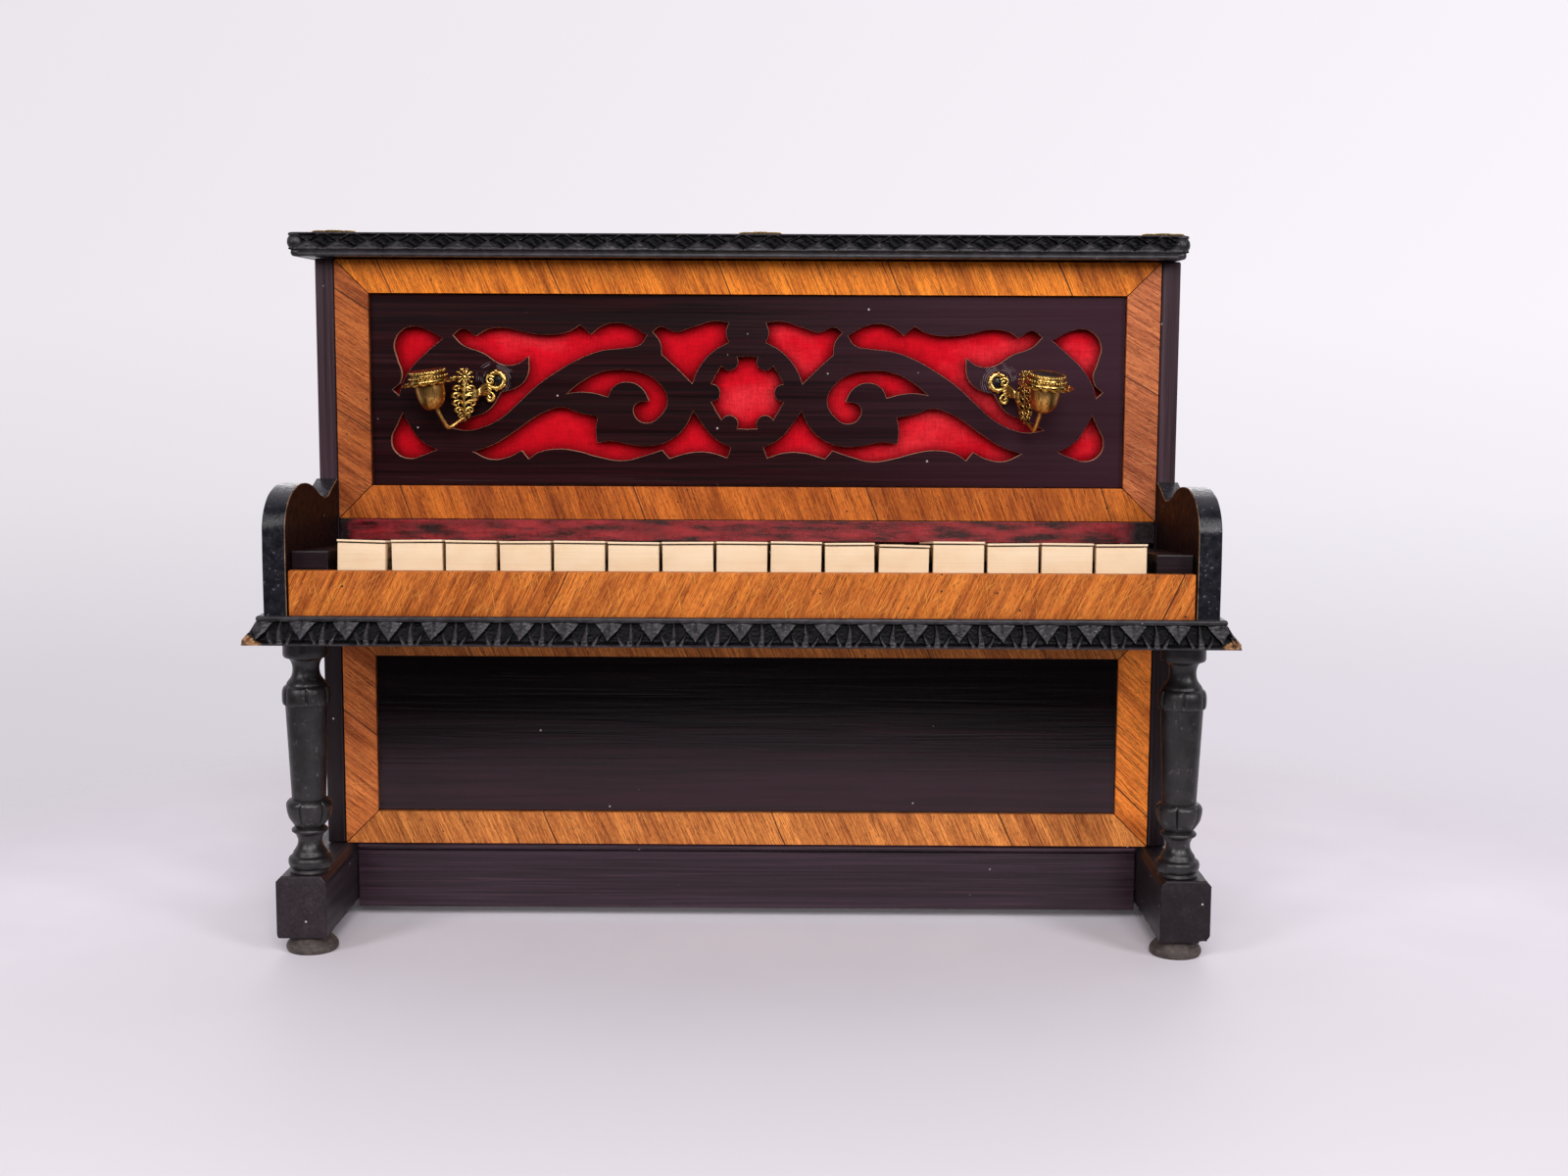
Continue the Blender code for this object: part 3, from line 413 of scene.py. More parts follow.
def carving_finish(name, hollow_shade, specular, light):
    """Carved and ebonised beech, lighter on its ridges, partly worn and partly a painted highlight, and darker
    in its recesses, a painted shade. The copy for the deepest faces is a much darker painted shade. The lowest
    tips of the moulding's corners are bare.
    """
    wood = Finish(name, Specular_IOR_Level=specular)
    cloud = wood.noise(3.5, detail=5.0, rough=0.65)
    wood.colour = wood.ramp(cloud, (0.38, shaded(light, 0.30)), (0.62, light))
    # painted shade: darker in the carving's recesses
    wood.colour = wood.mix(wood.hollows(2.0, 0.15, 0.60), shaded(light, 0.10), wood.colour)
    if not hollow_shade:
        # partly wear and partly a painted highlight: lighter edges on the ridges
        wood.over(wood.wear(radius=0.30, size=2.2, cover=0.55), (0.105, 0.095, 0.092))
        wood.over(wood.specks(0.35, 0.05), (0.26, 0.22, 0.20))
    back = wood.maths("MAXIMUM", wood.along("Y"), -79.0)
    outwards = wood.size_of(wood.along("X"))
    corner = wood.blend((outwards, 1.0), (wood.along("Z"), -1.4), (cloud, 9.0), (back, -1.0))
    bare = wood.ramp(wood.noise(2, detail=4.0), (0.40, (0.10, 0.05, 0.025)), (0.62, (0.46, 0.25, 0.12)))
    wood.over(wood.between(corner, 78.0, 79.8), bare)
    return wood.finish(wood.uneven(3, 0.30, 0.48, detail=4.0), wood.bump(cloud, 0.10))


def ivory_finish():
    ivory = Finish("key_ivory", Specular_IOR_Level=0.40, Subsurface_Weight=0.08, Subsurface_Scale=0.001,
                   Subsurface_Radius=(1.0, 0.6, 0.3))
    lines = ivory.noise((40, 3, 0.45), detail=4.0, warp=0.3)
    tone = ivory.blend((lines, 0.45), (ivory.noise((14, 14, 9)), 0.55))
    ivory.colour = ivory.ramp(
        tone, (0.36, (0.76, 0.55, 0.345)), (0.50, (0.80, 0.61, 0.40)), (0.64, (0.82, 0.65, 0.45)))
    ivory.over(ivory.wear(radius=0.35, size=4.0, cover=0.35), (0.62, 0.40, 0.20))
    # painted shade: darker in the gaps between keys and other recesses
    ivory.over(ivory.hollows(2.0, 0.55, 0.20), (0.40, 0.24, 0.11))
    ivory.over(ivory.specks(0.3, 0.04), (0.45, 0.28, 0.14))
    return ivory.finish(ivory.uneven(4, 0.34, 0.50), ivory.bump(lines, 0.03))


def brass_finish(name, size, rough=(0.20, 0.36), light=(0.92, 0.62, 0.19), dark=(0.24, 0.125, 0.03)):
    """Gilt brass, darker in its hollows."""
    brass = Finish(name, Metallic=1.0)
    cloud = brass.noise(size, detail=5.0, rough=0.65)
    tone = brass.times(brass.hollows(1.3, 0.40, 0.97), brass.between(cloud, 0.34, 0.64, 0.55, 1.0))
    brass.colour = brass.ramp(tone, (0.10, (0.035, 0.016, 0.006)), (0.50, dark), (0.92, light))
    return brass.finish(brass.between(cloud, 0.3, 0.7, rough[1], rough[0]), brass.bump(cloud, 0.05))


THREAD_PITCH = 0.72             # of the cloth, in millimetres


def cloth_finish():
    """Plain-woven crimson cloth, paler and pinker towards the right, with painted shadow under the fretwork's
    edges.
    """
    cloth = Finish("crimson_weave", Roughness=0.9, Specular_IOR_Level=0.10)
    threads = [cloth.maths("SINE", cloth.along(axis, THREAD_PITCH / FULL_TURN)) for axis in "XZ"]
    slubs = [(cloth.noise(size, detail=4.0), 0.5) for size in ((4.0, 4.0, 0.8), (0.8, 4.0, 4.0))]
    height = cloth.blend((cloth.times(*threads), 0.5), (cloth.blend(*slubs), 2.0))
    # tone that wanders and grows paler and pinker towards the right
    cloth_tone = cloth.blend((cloth.noise((40, 40, 25), detail=4.0), 0.7), (cloth.along("X", 350.0), 0.25))
    cloth.colour = cloth.ramp(
        cloth_tone, (0.22, (0.58, 0.0012, 0.010)), (0.36, (0.74, 0.004, 0.017)), (0.50, (0.90, 0.038, 0.055)))
    cloth.over(cloth.between(height, 0.55, 1.30, 0.70, 0.0), (0.26, 0.001, 0.004))
    # painted shadow: darker under the fretwork's edges
    cloth.over(cloth.times(cloth.hollows(6.0, 0.94, 0.45), 0.92), (0.11, 0.0004, 0.002))
    return cloth.finish(None, cloth.bump(height, 0.14))


def strip_finish():
    """Crimson leather behind the keys, stained, and much darker towards its ends."""
    strip = Finish("crimson_leather_strip", Specular_IOR_Level=0.4)
    stain = strip.noise((16, 16, 3.0), detail=5.0, rough=0.6)
    strip.colour = strip.ramp(
        stain, (0.38, (0.020, 0.002, 0.003)), (0.48, (0.13, 0.008, 0.011)), (0.64, (0.27, 0.016, 0.022)))
    from_middle = strip.size_of(strip.plus(strip.along("X"), 3.0))
    ends = strip.blend((from_middle, 1.0), (stain, 16.0))
    strip.over(strip.between(ends, 162.0, 168.0), (0.010, 0.004, 0.005))
    rough = strip.uneven(2, 0.22, 0.45, detail=4.0)
    return strip.finish(rough, strip.bump(strip.noise(0.8, detail=2.0), 0.05))


def plain_wood_finish(name, grain, light=(0.46, 0.29, 0.145), dark=(0.20, 0.105, 0.045), line=1.6):
    """Bare pine, yellowed and dusty. grain is the axis that its lines follow."""
    wood = Finish(name, Specular_IOR_Level=0.3)
    size = Vector([90.0 if axis == grain else line for axis in "XYZ"])
    rings = wood.noise(tuple(size), rough=0.5, warp=0.8)
    fibre = wood.noise(tuple(size * 0.22), detail=4.0)
    tone = wood.blend((rings, 0.65), (fibre, 0.35))
    wood.colour = wood.ramp(tone, (0.38, dark), (0.50, light), (0.64, shaded(light, 1.2)))
    wood.over(wood.between(wood.noise(20, detail=6.0, rough=0.7), 0.45, 0.75, 0.0, 0.6), shaded(dark, 0.7))
    wood.over(wood.wear(size=2.0, cover=0.6), shaded(light, 1.3))
    return wood.finish(wood.between(fibre, 0.3, 0.7, 0.55, 0.75), wood.bump(tone, 0.10))


def foot_finish():
    foot = Finish("foot_paint", Specular_IOR_Level=0.3)
    cloud = foot.noise(2.5, detail=5.0, rough=0.7)
    tone = foot.blend((foot.noise((9, 9, 0.5), detail=4.0), 0.4), (cloud, 0.6))
    foot.colour = foot.ramp(
        tone, (0.36, (0.028, 0.021, 0.019)), (0.52, (0.064, 0.050, 0.045)), (0.68, (0.13, 0.098, 0.080)))
    return foot.finish(foot.between(cloud, 0.3, 0.7, 0.5, 0.7), foot.bump(tone, 0.08))


def steel_finish():
    steel = Finish("tone_bar_steel", Metallic=1.0)
    brush = steel.noise((0.5, 30, 0.5))
    rust = steel.between(steel.noise(4, detail=6.0, rough=0.7), 0.55, 0.72, 0.0, 0.8)
    steel.colour = steel.ramp(brush, (0.3, (0.36, 0.36, 0.37)), (0.7, (0.58, 0.58, 0.60)))
    steel.over(rust, (0.14, 0.07, 0.035))
    return steel.finish(steel.between(rust, 0.0, 0.8, 0.32, 0.75), steel.bump(brush, 0.02))


VENEERS = {                     # tone, angle of the grain, width of a leaf, shift, figure, scuffs
    "top_rail": ((0.62, 0.162, 0.013), -67, 62.0, -32.6),
    "rail": ((0.39, 0.094, 0.013), -70, 88.0, 20.0),
    "lower_rail": ((0.56, 0.178, 0.040), -66, 85.0, 31.0),
    "left_stile": ((0.33, 0.082, 0.019), -33, 40.0, 11.0),
    "right_stile": ((0.44, 0.124, 0.044), -30, 48.0, 57.0),
    "low_left_stile": ((0.50, 0.135, 0.034), -38, 46.0, 23.0),
    "low_right_stile": ((0.66, 0.165, 0.024), -44, 60.0, 37.0),
    "slip": ((0.46, 0.124, 0.020), 64, 200.0, 83.0, 2.0, 0.5),
}
# painted reflections: paler towards the fret's upper right, and towards the lower panel's foot, which mirrors
# the floor
FRET_PAINTED_REFLECTION = ((0.034, 0.0110, 0.0185), (1.0, 0.8), (210.0, 390.0))
PANEL_PAINTED_REFLECTION = ((0.029, 0.0096, 0.0150), (0.0, -1.0), (-34.0, 26.0))
FOOT_BOARD = {"grain": "Y", "dusty": 0.3, "rough": (0.40, 0.55), "specular": 0.25}
DARK_WOODS = {                  # base, light, and what differs from other dark wood
    # the sides take painted shade below the keyboard
    "side": ((0.021, 0.010, 0.013), (0.070, 0.036, 0.048),
             {"grain": "Z", "dusty": 0.4, "low": (0.0085, 0.0045, 0.0060)}),
    "fret": ((0.0030, 0.0006, 0.0009), (0.023, 0.0022, 0.0042),
             {"specular": 0.12, "dusty": 0.08, "rough": (0.3, 0.42), "painted_reflection": FRET_PAINTED_REFLECTION, "specks": 0.05,
              "scratched": True}),
    "panel": ((0.0018, 0.00036, 0.00054), (0.0055, 0.0012, 0.0022),
              {"line": 2.2, "rough": (0.11, 0.18), "specular": 0.28, "dusty": 0.03, "painted_reflection": PANEL_PAINTED_REFLECTION}),
    "plinth": ((0.014, 0.006, 0.010), (0.050, 0.023, 0.037), {"dusty": 0.3}),
    "key_block": ((0.006, 0.003, 0.004), (0.020, 0.009, 0.013), {}),
    "left_foot_rail": ((0.012, 0.007, 0.010), (0.036, 0.024, 0.031), FOOT_BOARD),
    # painted shade: the right rail's finish is a darker copy of the left rail's
    "right_foot_rail": ((0.006, 0.004, 0.005), (0.018, 0.010, 0.014), FOOT_BOARD),
}


def make_finishes():
    for name, values in VENEERS.items():
        FINISHES[name] = veneer_finish(f"veneer_{name}", *values)
    for name, (base, light, more) in DARK_WOODS.items():
        FINISHES[name] = dark_wood_finish(f"stained_{name}", base, light, **more)
    FINISHES.update({
        "ebonised": ebonised_finish("ebonised_edge"),
        "arm_side": ebonised_finish("ebonised_arm_side", rough=(0.45, 0.60), specular=0.10, specks=0.012,
                                    dark=(0.0030, 0.0012, 0.0010), light=(0.0130, 0.0062, 0.0050)),
        "leg": ebonised_finish("ebonised_leg", rough=(0.32, 0.44), worn=0.15, rub=(0.10, 0.08, 0.065),
                               dark=(0.0055, 0.0044, 0.0047), light=(0.0200, 0.0163, 0.0180)),
        "rubbed": ebonised_finish("rubbed_edge", rough=(0.35, 0.5), dark=(0.02, 0.011, 0.008),
                                  light=(0.30, 0.17, 0.09)),
        "carving": carving_finish("carved_ridges", False, 0.34, (0.0330, 0.0290, 0.0350)),
        # painted shade: a much darker copy of the carving finish for the deepest faces
        "hollow_shade": carving_finish("carved_hollows_painted_shade", True, 0.09, (0.0052, 0.0046, 0.0060)),
        "ivory": ivory_finish(),
        "brass": brass_finish("gilt_brass", 1.6),
        "satin_brass": brass_finish("brushed_brass", (0.7, 0.7, 9.0), rough=(0.24, 0.40),
                                    light=(0.68, 0.38, 0.115), dark=(0.26, 0.120, 0.030)),
        "cloth": cloth_finish(),
        "strip": strip_finish(),
        "board": plain_wood_finish("bare_back_board", "Z", line=2.6),
        "pine": plain_wood_finish("bare_pine", "X"),
        "kerf": plain_wood_finish("saw_cut_edge", "X", light=(0.50, 0.28, 0.17), dark=(0.28, 0.13, 0.07),
                                  line=0.8),
        "lever": plain_wood_finish("key_lever_pine", "Y"),
        "foot": foot_finish(),
        "steel": steel_finish(),
    })


# Modelling helpers


def box_size(node):
    low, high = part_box(node)
    return low, high, high - low


def polar(radius, angle, height=0.0):
    return Vector((radius * math.cos(angle), radius * math.sin(angle), height))


def upright(centre, radius, angle):
    """A point on a circle that stands up and faces along Y."""
    return Vector(centre) + Vector((radius * math.cos(angle), 0, radius * math.sin(angle)))


def smooth_line(points, steps):
    """Points along a line that curves through the given ones, and turns sharply at those marked CORNER."""
    places = [Vector([value for value in point if value != CORNER]) for point in points]
    last = len(places) - 1

    def slope(index, forward):
        if CORNER in tuple(points[index]) or index in (0, last):
            start = index if forward else index - 1
            return places[start + 1] - places[start]
        return (places[index + 1] - places[index - 1]) / 2

    line = []
    for index in range(last):
        start, end = places[index], places[index + 1]
        leave, arrive = slope(index, True), slope(index + 1, False)
        for step in range(steps):
            t = step / steps
            line.append(
                start * (2 * t**3 - 3 * t**2 + 1) + leave * (t**3 - 2 * t**2 + t)
                + end * (3 * t**2 - 2 * t**3) + arrive * (t**3 - t**2))
    line.append(places[-1])
    return line


def add_loft(bm, rings):
    """A closed solid through rings that have the same number of points. Returns the faces between them."""
    loops = [[bm.verts.new(point) for point in ring] for ring in rings]
    size = len(loops[0])
    faces = []
    for first, second in zip(loops, loops[1:]):
        for index in range(size):
            after = (index + 1) % size
            faces.append(bm.faces.new((first[index], first[after], second[after], second[index])))
    bm.faces.new(loops[0])
    bm.faces.new(loops[-1][::-1])
    return faces


def add_turned(bm, profile, segments, place, radius_at=None):
    """A solid turned about a vertical line from (radius, height) points. radius_at may change it by angle."""
    rings = []
    for radius, height in profile:
        ring = []
        for index in range(segments):
            angle = FULL_TURN * index / segments
            reach = radius_at(radius, height, angle) if radius_at else radius
            ring.append(place @ polar(reach, angle, height))
        rings.append(ring)
    add_loft(bm, rings)


def add_tube(bm, points, radii, steps=5, sides=10):
    """A tapered tube through the points."""
    line = smooth_line(points, steps)
    widths = smooth_line([(radius, 0.0) for radius in radii], steps)
    rings = []
    normal = None
    for index, place in enumerate(line):
        ahead = line[min(index + 1, len(line) - 1)]
        behind = line[max(index - 1, 0)]
        along = (ahead - behind).normalized()
        if normal is None:
            normal = along.orthogonal().normalized()
        normal = (normal - along * normal.dot(along)).normalized()
        other = along.cross(normal)
        radius = max(widths[index][0], 0.02 * MM)
        turns = [FULL_TURN * side / sides for side in range(sides)]
        rings.append([place + radius * (normal * math.cos(turn) + other * math.sin(turn)) for turn in turns])
    add_loft(bm, rings)


def add_ball(bm, centre, radii, turn=Matrix.Identity(4), segments=12):
    if not isinstance(radii, tuple):
        radii = (radii,) * 3
    matrix = Matrix.Translation(centre) @ turn @ Matrix.Diagonal((*radii, 1.0))
    rows = segments // 2 + 1
    bmesh.ops.create_uvsphere(bm, u_segments=segments, v_segments=rows, radius=1.0, matrix=matrix)


def add_block(bm, low, high, ease):
    """A board between two corners, with its edges rounded by ease."""
    size = Vector(high) - Vector(low)
    place = Matrix.Translation((Vector(high) + Vector(low)) / 2) @ Matrix.Diagonal((*size, 1.0))
    made = bmesh.ops.create_cube(bm, size=1.0, matrix=place)
    edges = {edge for vert in made["verts"] for edge in vert.link_edges}
    bmesh.ops.bevel(bm, geom=list(edges), offset=ease, segments=3, profile=0.5, affect="EDGES")


def make_piece(name, source, finish, body=CASE, replaces=None, slot=None, sharp=35.0, place=None):
    """A named piece from a bmesh or a mesh, in one finish or several, riding on a CAD body."""
    keys = finish if isinstance(finish, tuple) else (finish,)
    if isinstance(source, bmesh.types.BMesh):
        bmesh.ops.recalc_face_normals(source, faces=source.faces)
        mesh = bpy.data.meshes.new(name)
        source.to_mesh(mesh)
        source.free()
    else:
        mesh = source
        mesh.materials.clear()
    if place is not None:
        mesh.transform(place)
    for key in keys:
        mesh.materials.append(FINISHES[key])
    mesh.shade_smooth()
    mesh.set_sharp_from_angle(angle=math.radians(sharp))
    piece = add_object(name, mesh)
    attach(piece, body)
    if replaces:
        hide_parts(replaces)
    return piece


def curve_mesh(name, outlines, thickness, ease, resolution, turn, place):
    """A flat board cut to outlines, holes included, with its rims rounded by ease."""
    curve = bpy.data.curves.new(name, "CURVE")
    curve.dimensions = "2D"
    curve.fill_mode = "BOTH"
    curve.extrude = thickness / 2 - ease
    curve.bevel_depth = ease
    curve.bevel_resolution = 1
    curve.offset = -ease
    curve.resolution_u = resolution
    for points in outlines:
        spline = curve.splines.new("BEZIER")
        spline.bezier_points.add(len(points) - 1)
        spline.use_cyclic_u = True
        for knot, point in zip(spline.bezier_points, points):
            knot.co = (point[0], point[1], 0)
            kind = "VECTOR" if CORNER in point else "AUTO"
            knot.handle_left_type = knot.handle_right_type = kind
    guide = add_object(name, curve)
    bpy.context.view_layer.update()
    evaluated = guide.evaluated_get(bpy.context.evaluated_depsgraph_get())
    mesh = bpy.data.meshes.new_from_object(evaluated)
    bpy.data.objects.remove(guide)
    bpy.data.curves.remove(curve)
    bm = bmesh.new()
    bm.from_mesh(mesh)
    bmesh.ops.remove_doubles(bm, verts=bm.verts, dist=1e-6)
    bmesh.ops.recalc_face_normals(bm, faces=bm.faces)
    bm.to_mesh(mesh)
    bm.free()
    mesh.transform(Matrix.Translation(place) @ turn)
    return mesh


# CAD nodes that keep their shape

DRESSED = {                     # finish, and how far the edges are rounded
    "left_side": ("side", 0.4), "right_side": ("side", 0.4),
    "left_key_block": ("key_block", 0.4), "right_key_block": ("key_block", 0.4),
    "upper_left_stile": ("left_stile", 0.15), "upper_right_stile": ("right_stile", 0.15),
    "lower_left_stile": ("low_left_stile", 0.15), "lower_right_stile": ("low_right_stile", 0.15),
    "upper_bottom_rail": ("rail", 0.15), "upper_top_rail": ("top_rail", 0.15),
    "lower_bottom_rail": ("lower_rail", 0.15), "lower_top_rail": ("lower_rail", 0.15),
    "key_slip": ("slip", 0.2), "lower_panel": ("panel", 0), "plinth": ("plinth", 0.3),
    "plinth_bead": ("plinth", 0.3), "keybed": ("ebonised", 0.3), "keybed_batten": ("plinth", 0),
    "name_strip": ("strip", 0.2), "back_board": ("board", 0.2), "lid_hinge": ("satin_brass", 0),
    "balance_rail": ("pine", 0.2), "tone_bar_frame": ("pine", 0.2), "tone_bars": ("steel", 0.15),
    "balance_wire": ("steel", 0),
}


def dress_case():
    """Give these nodes their finishes, and round their edges a little."""
    for node, (finish, ease) in DRESSED.items():
        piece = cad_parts[node]
        if not piece.material_slots:
            piece.data.materials.append(FINISHES[finish])
        for slot in piece.material_slots:
            slot.material = FINISHES[finish]
        if ease:
            weld = piece.modifiers.new("Weld", "WELD")
            weld.merge_threshold = 1e-6
            bevel = piece.modifiers.new("Eased edges", "BEVEL")
            bevel.width = ease * MM
            bevel.segments = 2
            bevel.limit_method = "ANGLE"
            bevel.angle_limit = math.radians(30)
            bevel.harden_normals = False


# Fretwork: the left half's openings in millimetres from the panel's centre

SCROLL_OPENINGS = [
    [   # pear shape in the upper corner
        (-121.2, 20.1, CORNER), (-127.5, 23.4), (-132.5, 24.7), (-137.6, 23.2), (-140.8, 17.9),
        (-139.6, 11.6), (-137.9, 5.7), (-138.7, 2.2, CORNER), (-141.9, -0.4, CORNER),
        (-139.2, -2.9, CORNER), (-137.4, 2.8), (-133.7, 8.7), (-128.1, 14.2)],
    [   # pear shape in the lower corner
        (-137.8, -9.5, CORNER), (-140.1, -14.1), (-142.6, -20.1), (-141.1, -25.2), (-135.6, -27.9),
        (-129.6, -26.4), (-124.3, -24.3, CORNER), (-130.8, -20.5), (-135.4, -14.1)],
    [   # above the long S-shaped stem
        (-117.4, 21.4, CORNER), (-113.3, 23.9), (-108.1, 21.0, CORNER), (-103.8, 23.5), (-96.6, 24.3),
        (-88.6, 22.6), (-79.4, 21.7), (-71.4, 22.9), (-66.5, 25.6, CORNER), (-62.3, 21.8, CORNER),
        (-58.3, 24.9), (-52.4, 26.5), (-46.5, 25.3), (-39.9, 21.7, CORNER), (-42.7, 17.9),
        (-49.5, 16.4), (-57.9, 15.4), (-66.4, 12.4), (-74.9, 7.7), (-83.5, 1.8), (-91.0, -5.0),
        (-98.3, -11.4), (-106.0, -15.3), (-112.4, -16.6), (-118.8, -15.5, CORNER), (-111.5, -11.7),
        (-103.4, -8.3), (-98.4, -1.3, CORNER), (-91.8, 0.9), (-87.9, 5.1), (-87.2, 13.1, CORNER),
        (-91.7, 10.0), (-97.6, 9.7), (-105.6, 14.3), (-113.8, 17.6)],
    [   # inside the curl of the stem
        (-72.3, -1.8, CORNER), (-66.5, 2.9), (-58.0, 7.0), (-49.5, 7.9), (-41.0, 6.4), (-34.7, 2.0),
        (-31.9, -3.9), (-34.7, -10.3), (-40.7, -13.3), (-45.3, -9.9), (-44.7, -5.9),
        (-39.2, -4.4, CORNER), (-42.3, 0.7), (-47.8, 3.0), (-53.4, 1.1), (-55.7, -3.0, CORNER),
        (-61.4, -1.5), (-67.4, -1.1)],
    [   # below the stem
        (-110.0, -25.0, CORNER), (-101.9, -22.2), (-93.3, -16.9), (-84.7, -10.9), (-81.0, -9.0),
        (-74.2, -7.1), (-67.4, -9.2), (-59.8, -10.6, CORNER), (-60.6, -15.9), (-60.1, -21.2, CORNER),
        (-53.9, -20.5), (-46.3, -22.0), (-37.7, -22.3), (-30.5, -19.8), (-25.4, -15.3),
        (-21.6, -8.3, CORNER), (-18.0, -13.6), (-12.5, -19.7), (-6.5, -22.9, CORNER),
        (-8.0, -27.1, CORNER), (-15.0, -25.0), (-22.3, -25.0), (-31.2, -27.4, CORNER),
        (-34.1, -24.1, CORNER), (-41.2, -26.4), (-49.7, -28.4), (-59.1, -27.1), (-67.6, -24.8),
        (-75.2, -23.8), (-83.8, -25.3), (-87.7, -27.9, CORNER), (-90.4, -24.5, CORNER),
        (-96.4, -27.3), (-103.2, -28.0)],
    [   # beside the top of the centre ring
        (-37.8, 23.0, CORNER), (-34.6, 25.0), (-28.7, 23.0), (-22.4, 24.7), (-13.3, 27.3),
        (-7.4, 26.7, CORNER), (-8.5, 22.7), (-7.4, 18.9, CORNER), (-13.8, 15.1), (-19.3, 8.8),
        (-22.0, 2.5, CORNER), (-27.9, 8.3), (-34.2, 14.0, CORNER), (-34.8, 18.8)],
]
FRET_CENTRE_Z = 216.5
FRET_EASE = 0.20 * MM
ROSETTE_CENTRE = (0.0, -1.1)
ROSETTE_RADIUS = 14.5
ROSETTE_CUSPS = 6
CUSP_RADIUS = 3.6
CLOTH_GRID = (150, 38)
CLOTH_THICKNESS = 0.25 * MM


def rosette_outline():
    """A round opening with six half-round cusps standing into it."""
    half_angle = math.asin(CUSP_RADIUS / ROSETTE_RADIUS)
    free_arc = FULL_TURN / ROSETTE_CUSPS - 2 * half_angle
    points = []
    for cusp in range(ROSETTE_CUSPS):
        middle = FULL_TURN * cusp / ROSETTE_CUSPS
        base = polar(ROSETTE_RADIUS, middle)
        for step in range(5):
            x, y, _ = base + polar(CUSP_RADIUS, middle - math.pi / 2 - math.pi * step / 4)
            points.append((x, y, CORNER) if step in (0, 4) else (x, y))
        for step in (1, 2, 3):
            points.append(tuple(polar(ROSETTE_RADIUS, middle + half_angle + free_arc * step / 4).xy))
    centre_x, centre_y = ROSETTE_CENTRE
    return [(x + centre_x, y + centre_y, *ends) for x, y, *ends in points]


def scaled(points, mirror=1):
    return [(mirror * x * MM, y * MM, *ends) for x, y, *ends in points]


def make_fret():
    """The pierced panel, with its sawn edges bare."""
    low, high, size = box_size("fret_panel")
    centre = (low + high) / 2
    raise_z = centre.z - FRET_CENTRE_Z * MM
    half_x, half_z = size.x / 2, size.z / 2
    corners = [(-half_x, -half_z), (half_x, -half_z), (half_x, half_z), (-half_x, half_z)]
    outlines = [[(x, z + raise_z, CORNER) for x, z in corners], scaled(rosette_outline())]
    for points in SCROLL_OPENINGS:
        outlines += [scaled(points), scaled(points, mirror=-1)]
    mesh = curve_mesh("fret", outlines, size.y, FRET_EASE, 8, Matrix.Rotation(math.pi / 2, 4, "X"),
                      (0, centre.y, FRET_CENTRE_Z * MM))
    piece = make_piece("fretwork_panel", mesh, ("fret", "kerf"), replaces="fret_panel", sharp=12)
    for face in piece.data.polygons:
        if abs(face.normal.y) < 0.9:
            face.material_index = 1


def make_cloth():
    """A stretched sheet that puckers slightly between the places where it is glued."""
    low, _, size = box_size("fret_cloth")
    columns, rows = CLOTH_GRID
    bm = bmesh.new()
    grid = []
    for row in range(rows + 1):
        z = low.z + size.z * row / rows
        line = []
        for column in range(columns + 1):
            x = low.x + size.x * column / columns
            pucker = noise.noise(Vector((x * 60, z * 90, 3.0)))
            pucker += 0.5 * noise.noise(Vector((x * 200, z * 220, 7.0)))
            line.append(bm.verts.new((x, low.y + (0.27 + 0.11 * pucker) * MM, z)))
        grid.append(line)
    for lower, upper in zip(grid, grid[1:]):
        for column in range(columns):
            bm.faces.new((lower[column], lower[column + 1], upper[column + 1], upper[column]))
    piece = make_piece("fret_cloth_sheet", bm, "cloth", replaces="fret_cloth")
    thickness = piece.modifiers.new("Cloth thickness", "SOLIDIFY")
    thickness.thickness = CLOTH_THICKNESS
    thickness.offset = -1.0


# Lid

LID_HEIGHT = 9.2 * MM
LID_BAND = 2.6 * MM             # height of the plain band under the carving
LID_CARVED_FROM = 2.8 * MM
LATTICE_PITCH = 11.7 * MM
LID_CARVE = 1.8                 # depth of the carving, in millimetres
LID_CORNER_RADIUS = 3.3         # in millimetres
LID_CORNER_GAP = 2.6 * MM       # the carved strips stop this far short of the corners
LID_ORNAMENTS = (-0.1626, 0.0051, 0.1631)
STRIP_DEPTH = 4.5 * MM
CARVING_STEP = 0.28 * MM
HOLLOW_DEPTH = 0.62             # carving deeper than this share takes the darker finish, a painted shade
CARVED = ("carving", "hollow_shade")


def lattice_depth(along, up):
    """Depth of the lid's carving. along is in diamonds and up runs from 0 to 1 over the carved band."""
    along += 0.04 * noise.noise(Vector((along * 0.9, 0.0, 5.0)))
    rising, falling = along + up, along - up
    to_rising, to_falling = abs(rising - round(rising)), abs(falling - round(falling))
    ridge = min(to_rising, to_falling)
    wall = min(ridge / 0.085, 1.0)
    if (math.floor(rising) - math.floor(falling)) % 2 == 0:
        if up < 0.5:
            return 0.03 + 0.30 * min(ridge / 0.05, 1.0) - 0.10 * min(ridge / 0.3, 1.0)
        return 0.85 * wall
    leaf = max(0.0, 1.0 - abs(to_rising - 0.30) / 0.07) * max(0.0, 1.0 - abs(to_falling - 0.5) / 0.4)
    return wall - 0.45 * leaf * wall


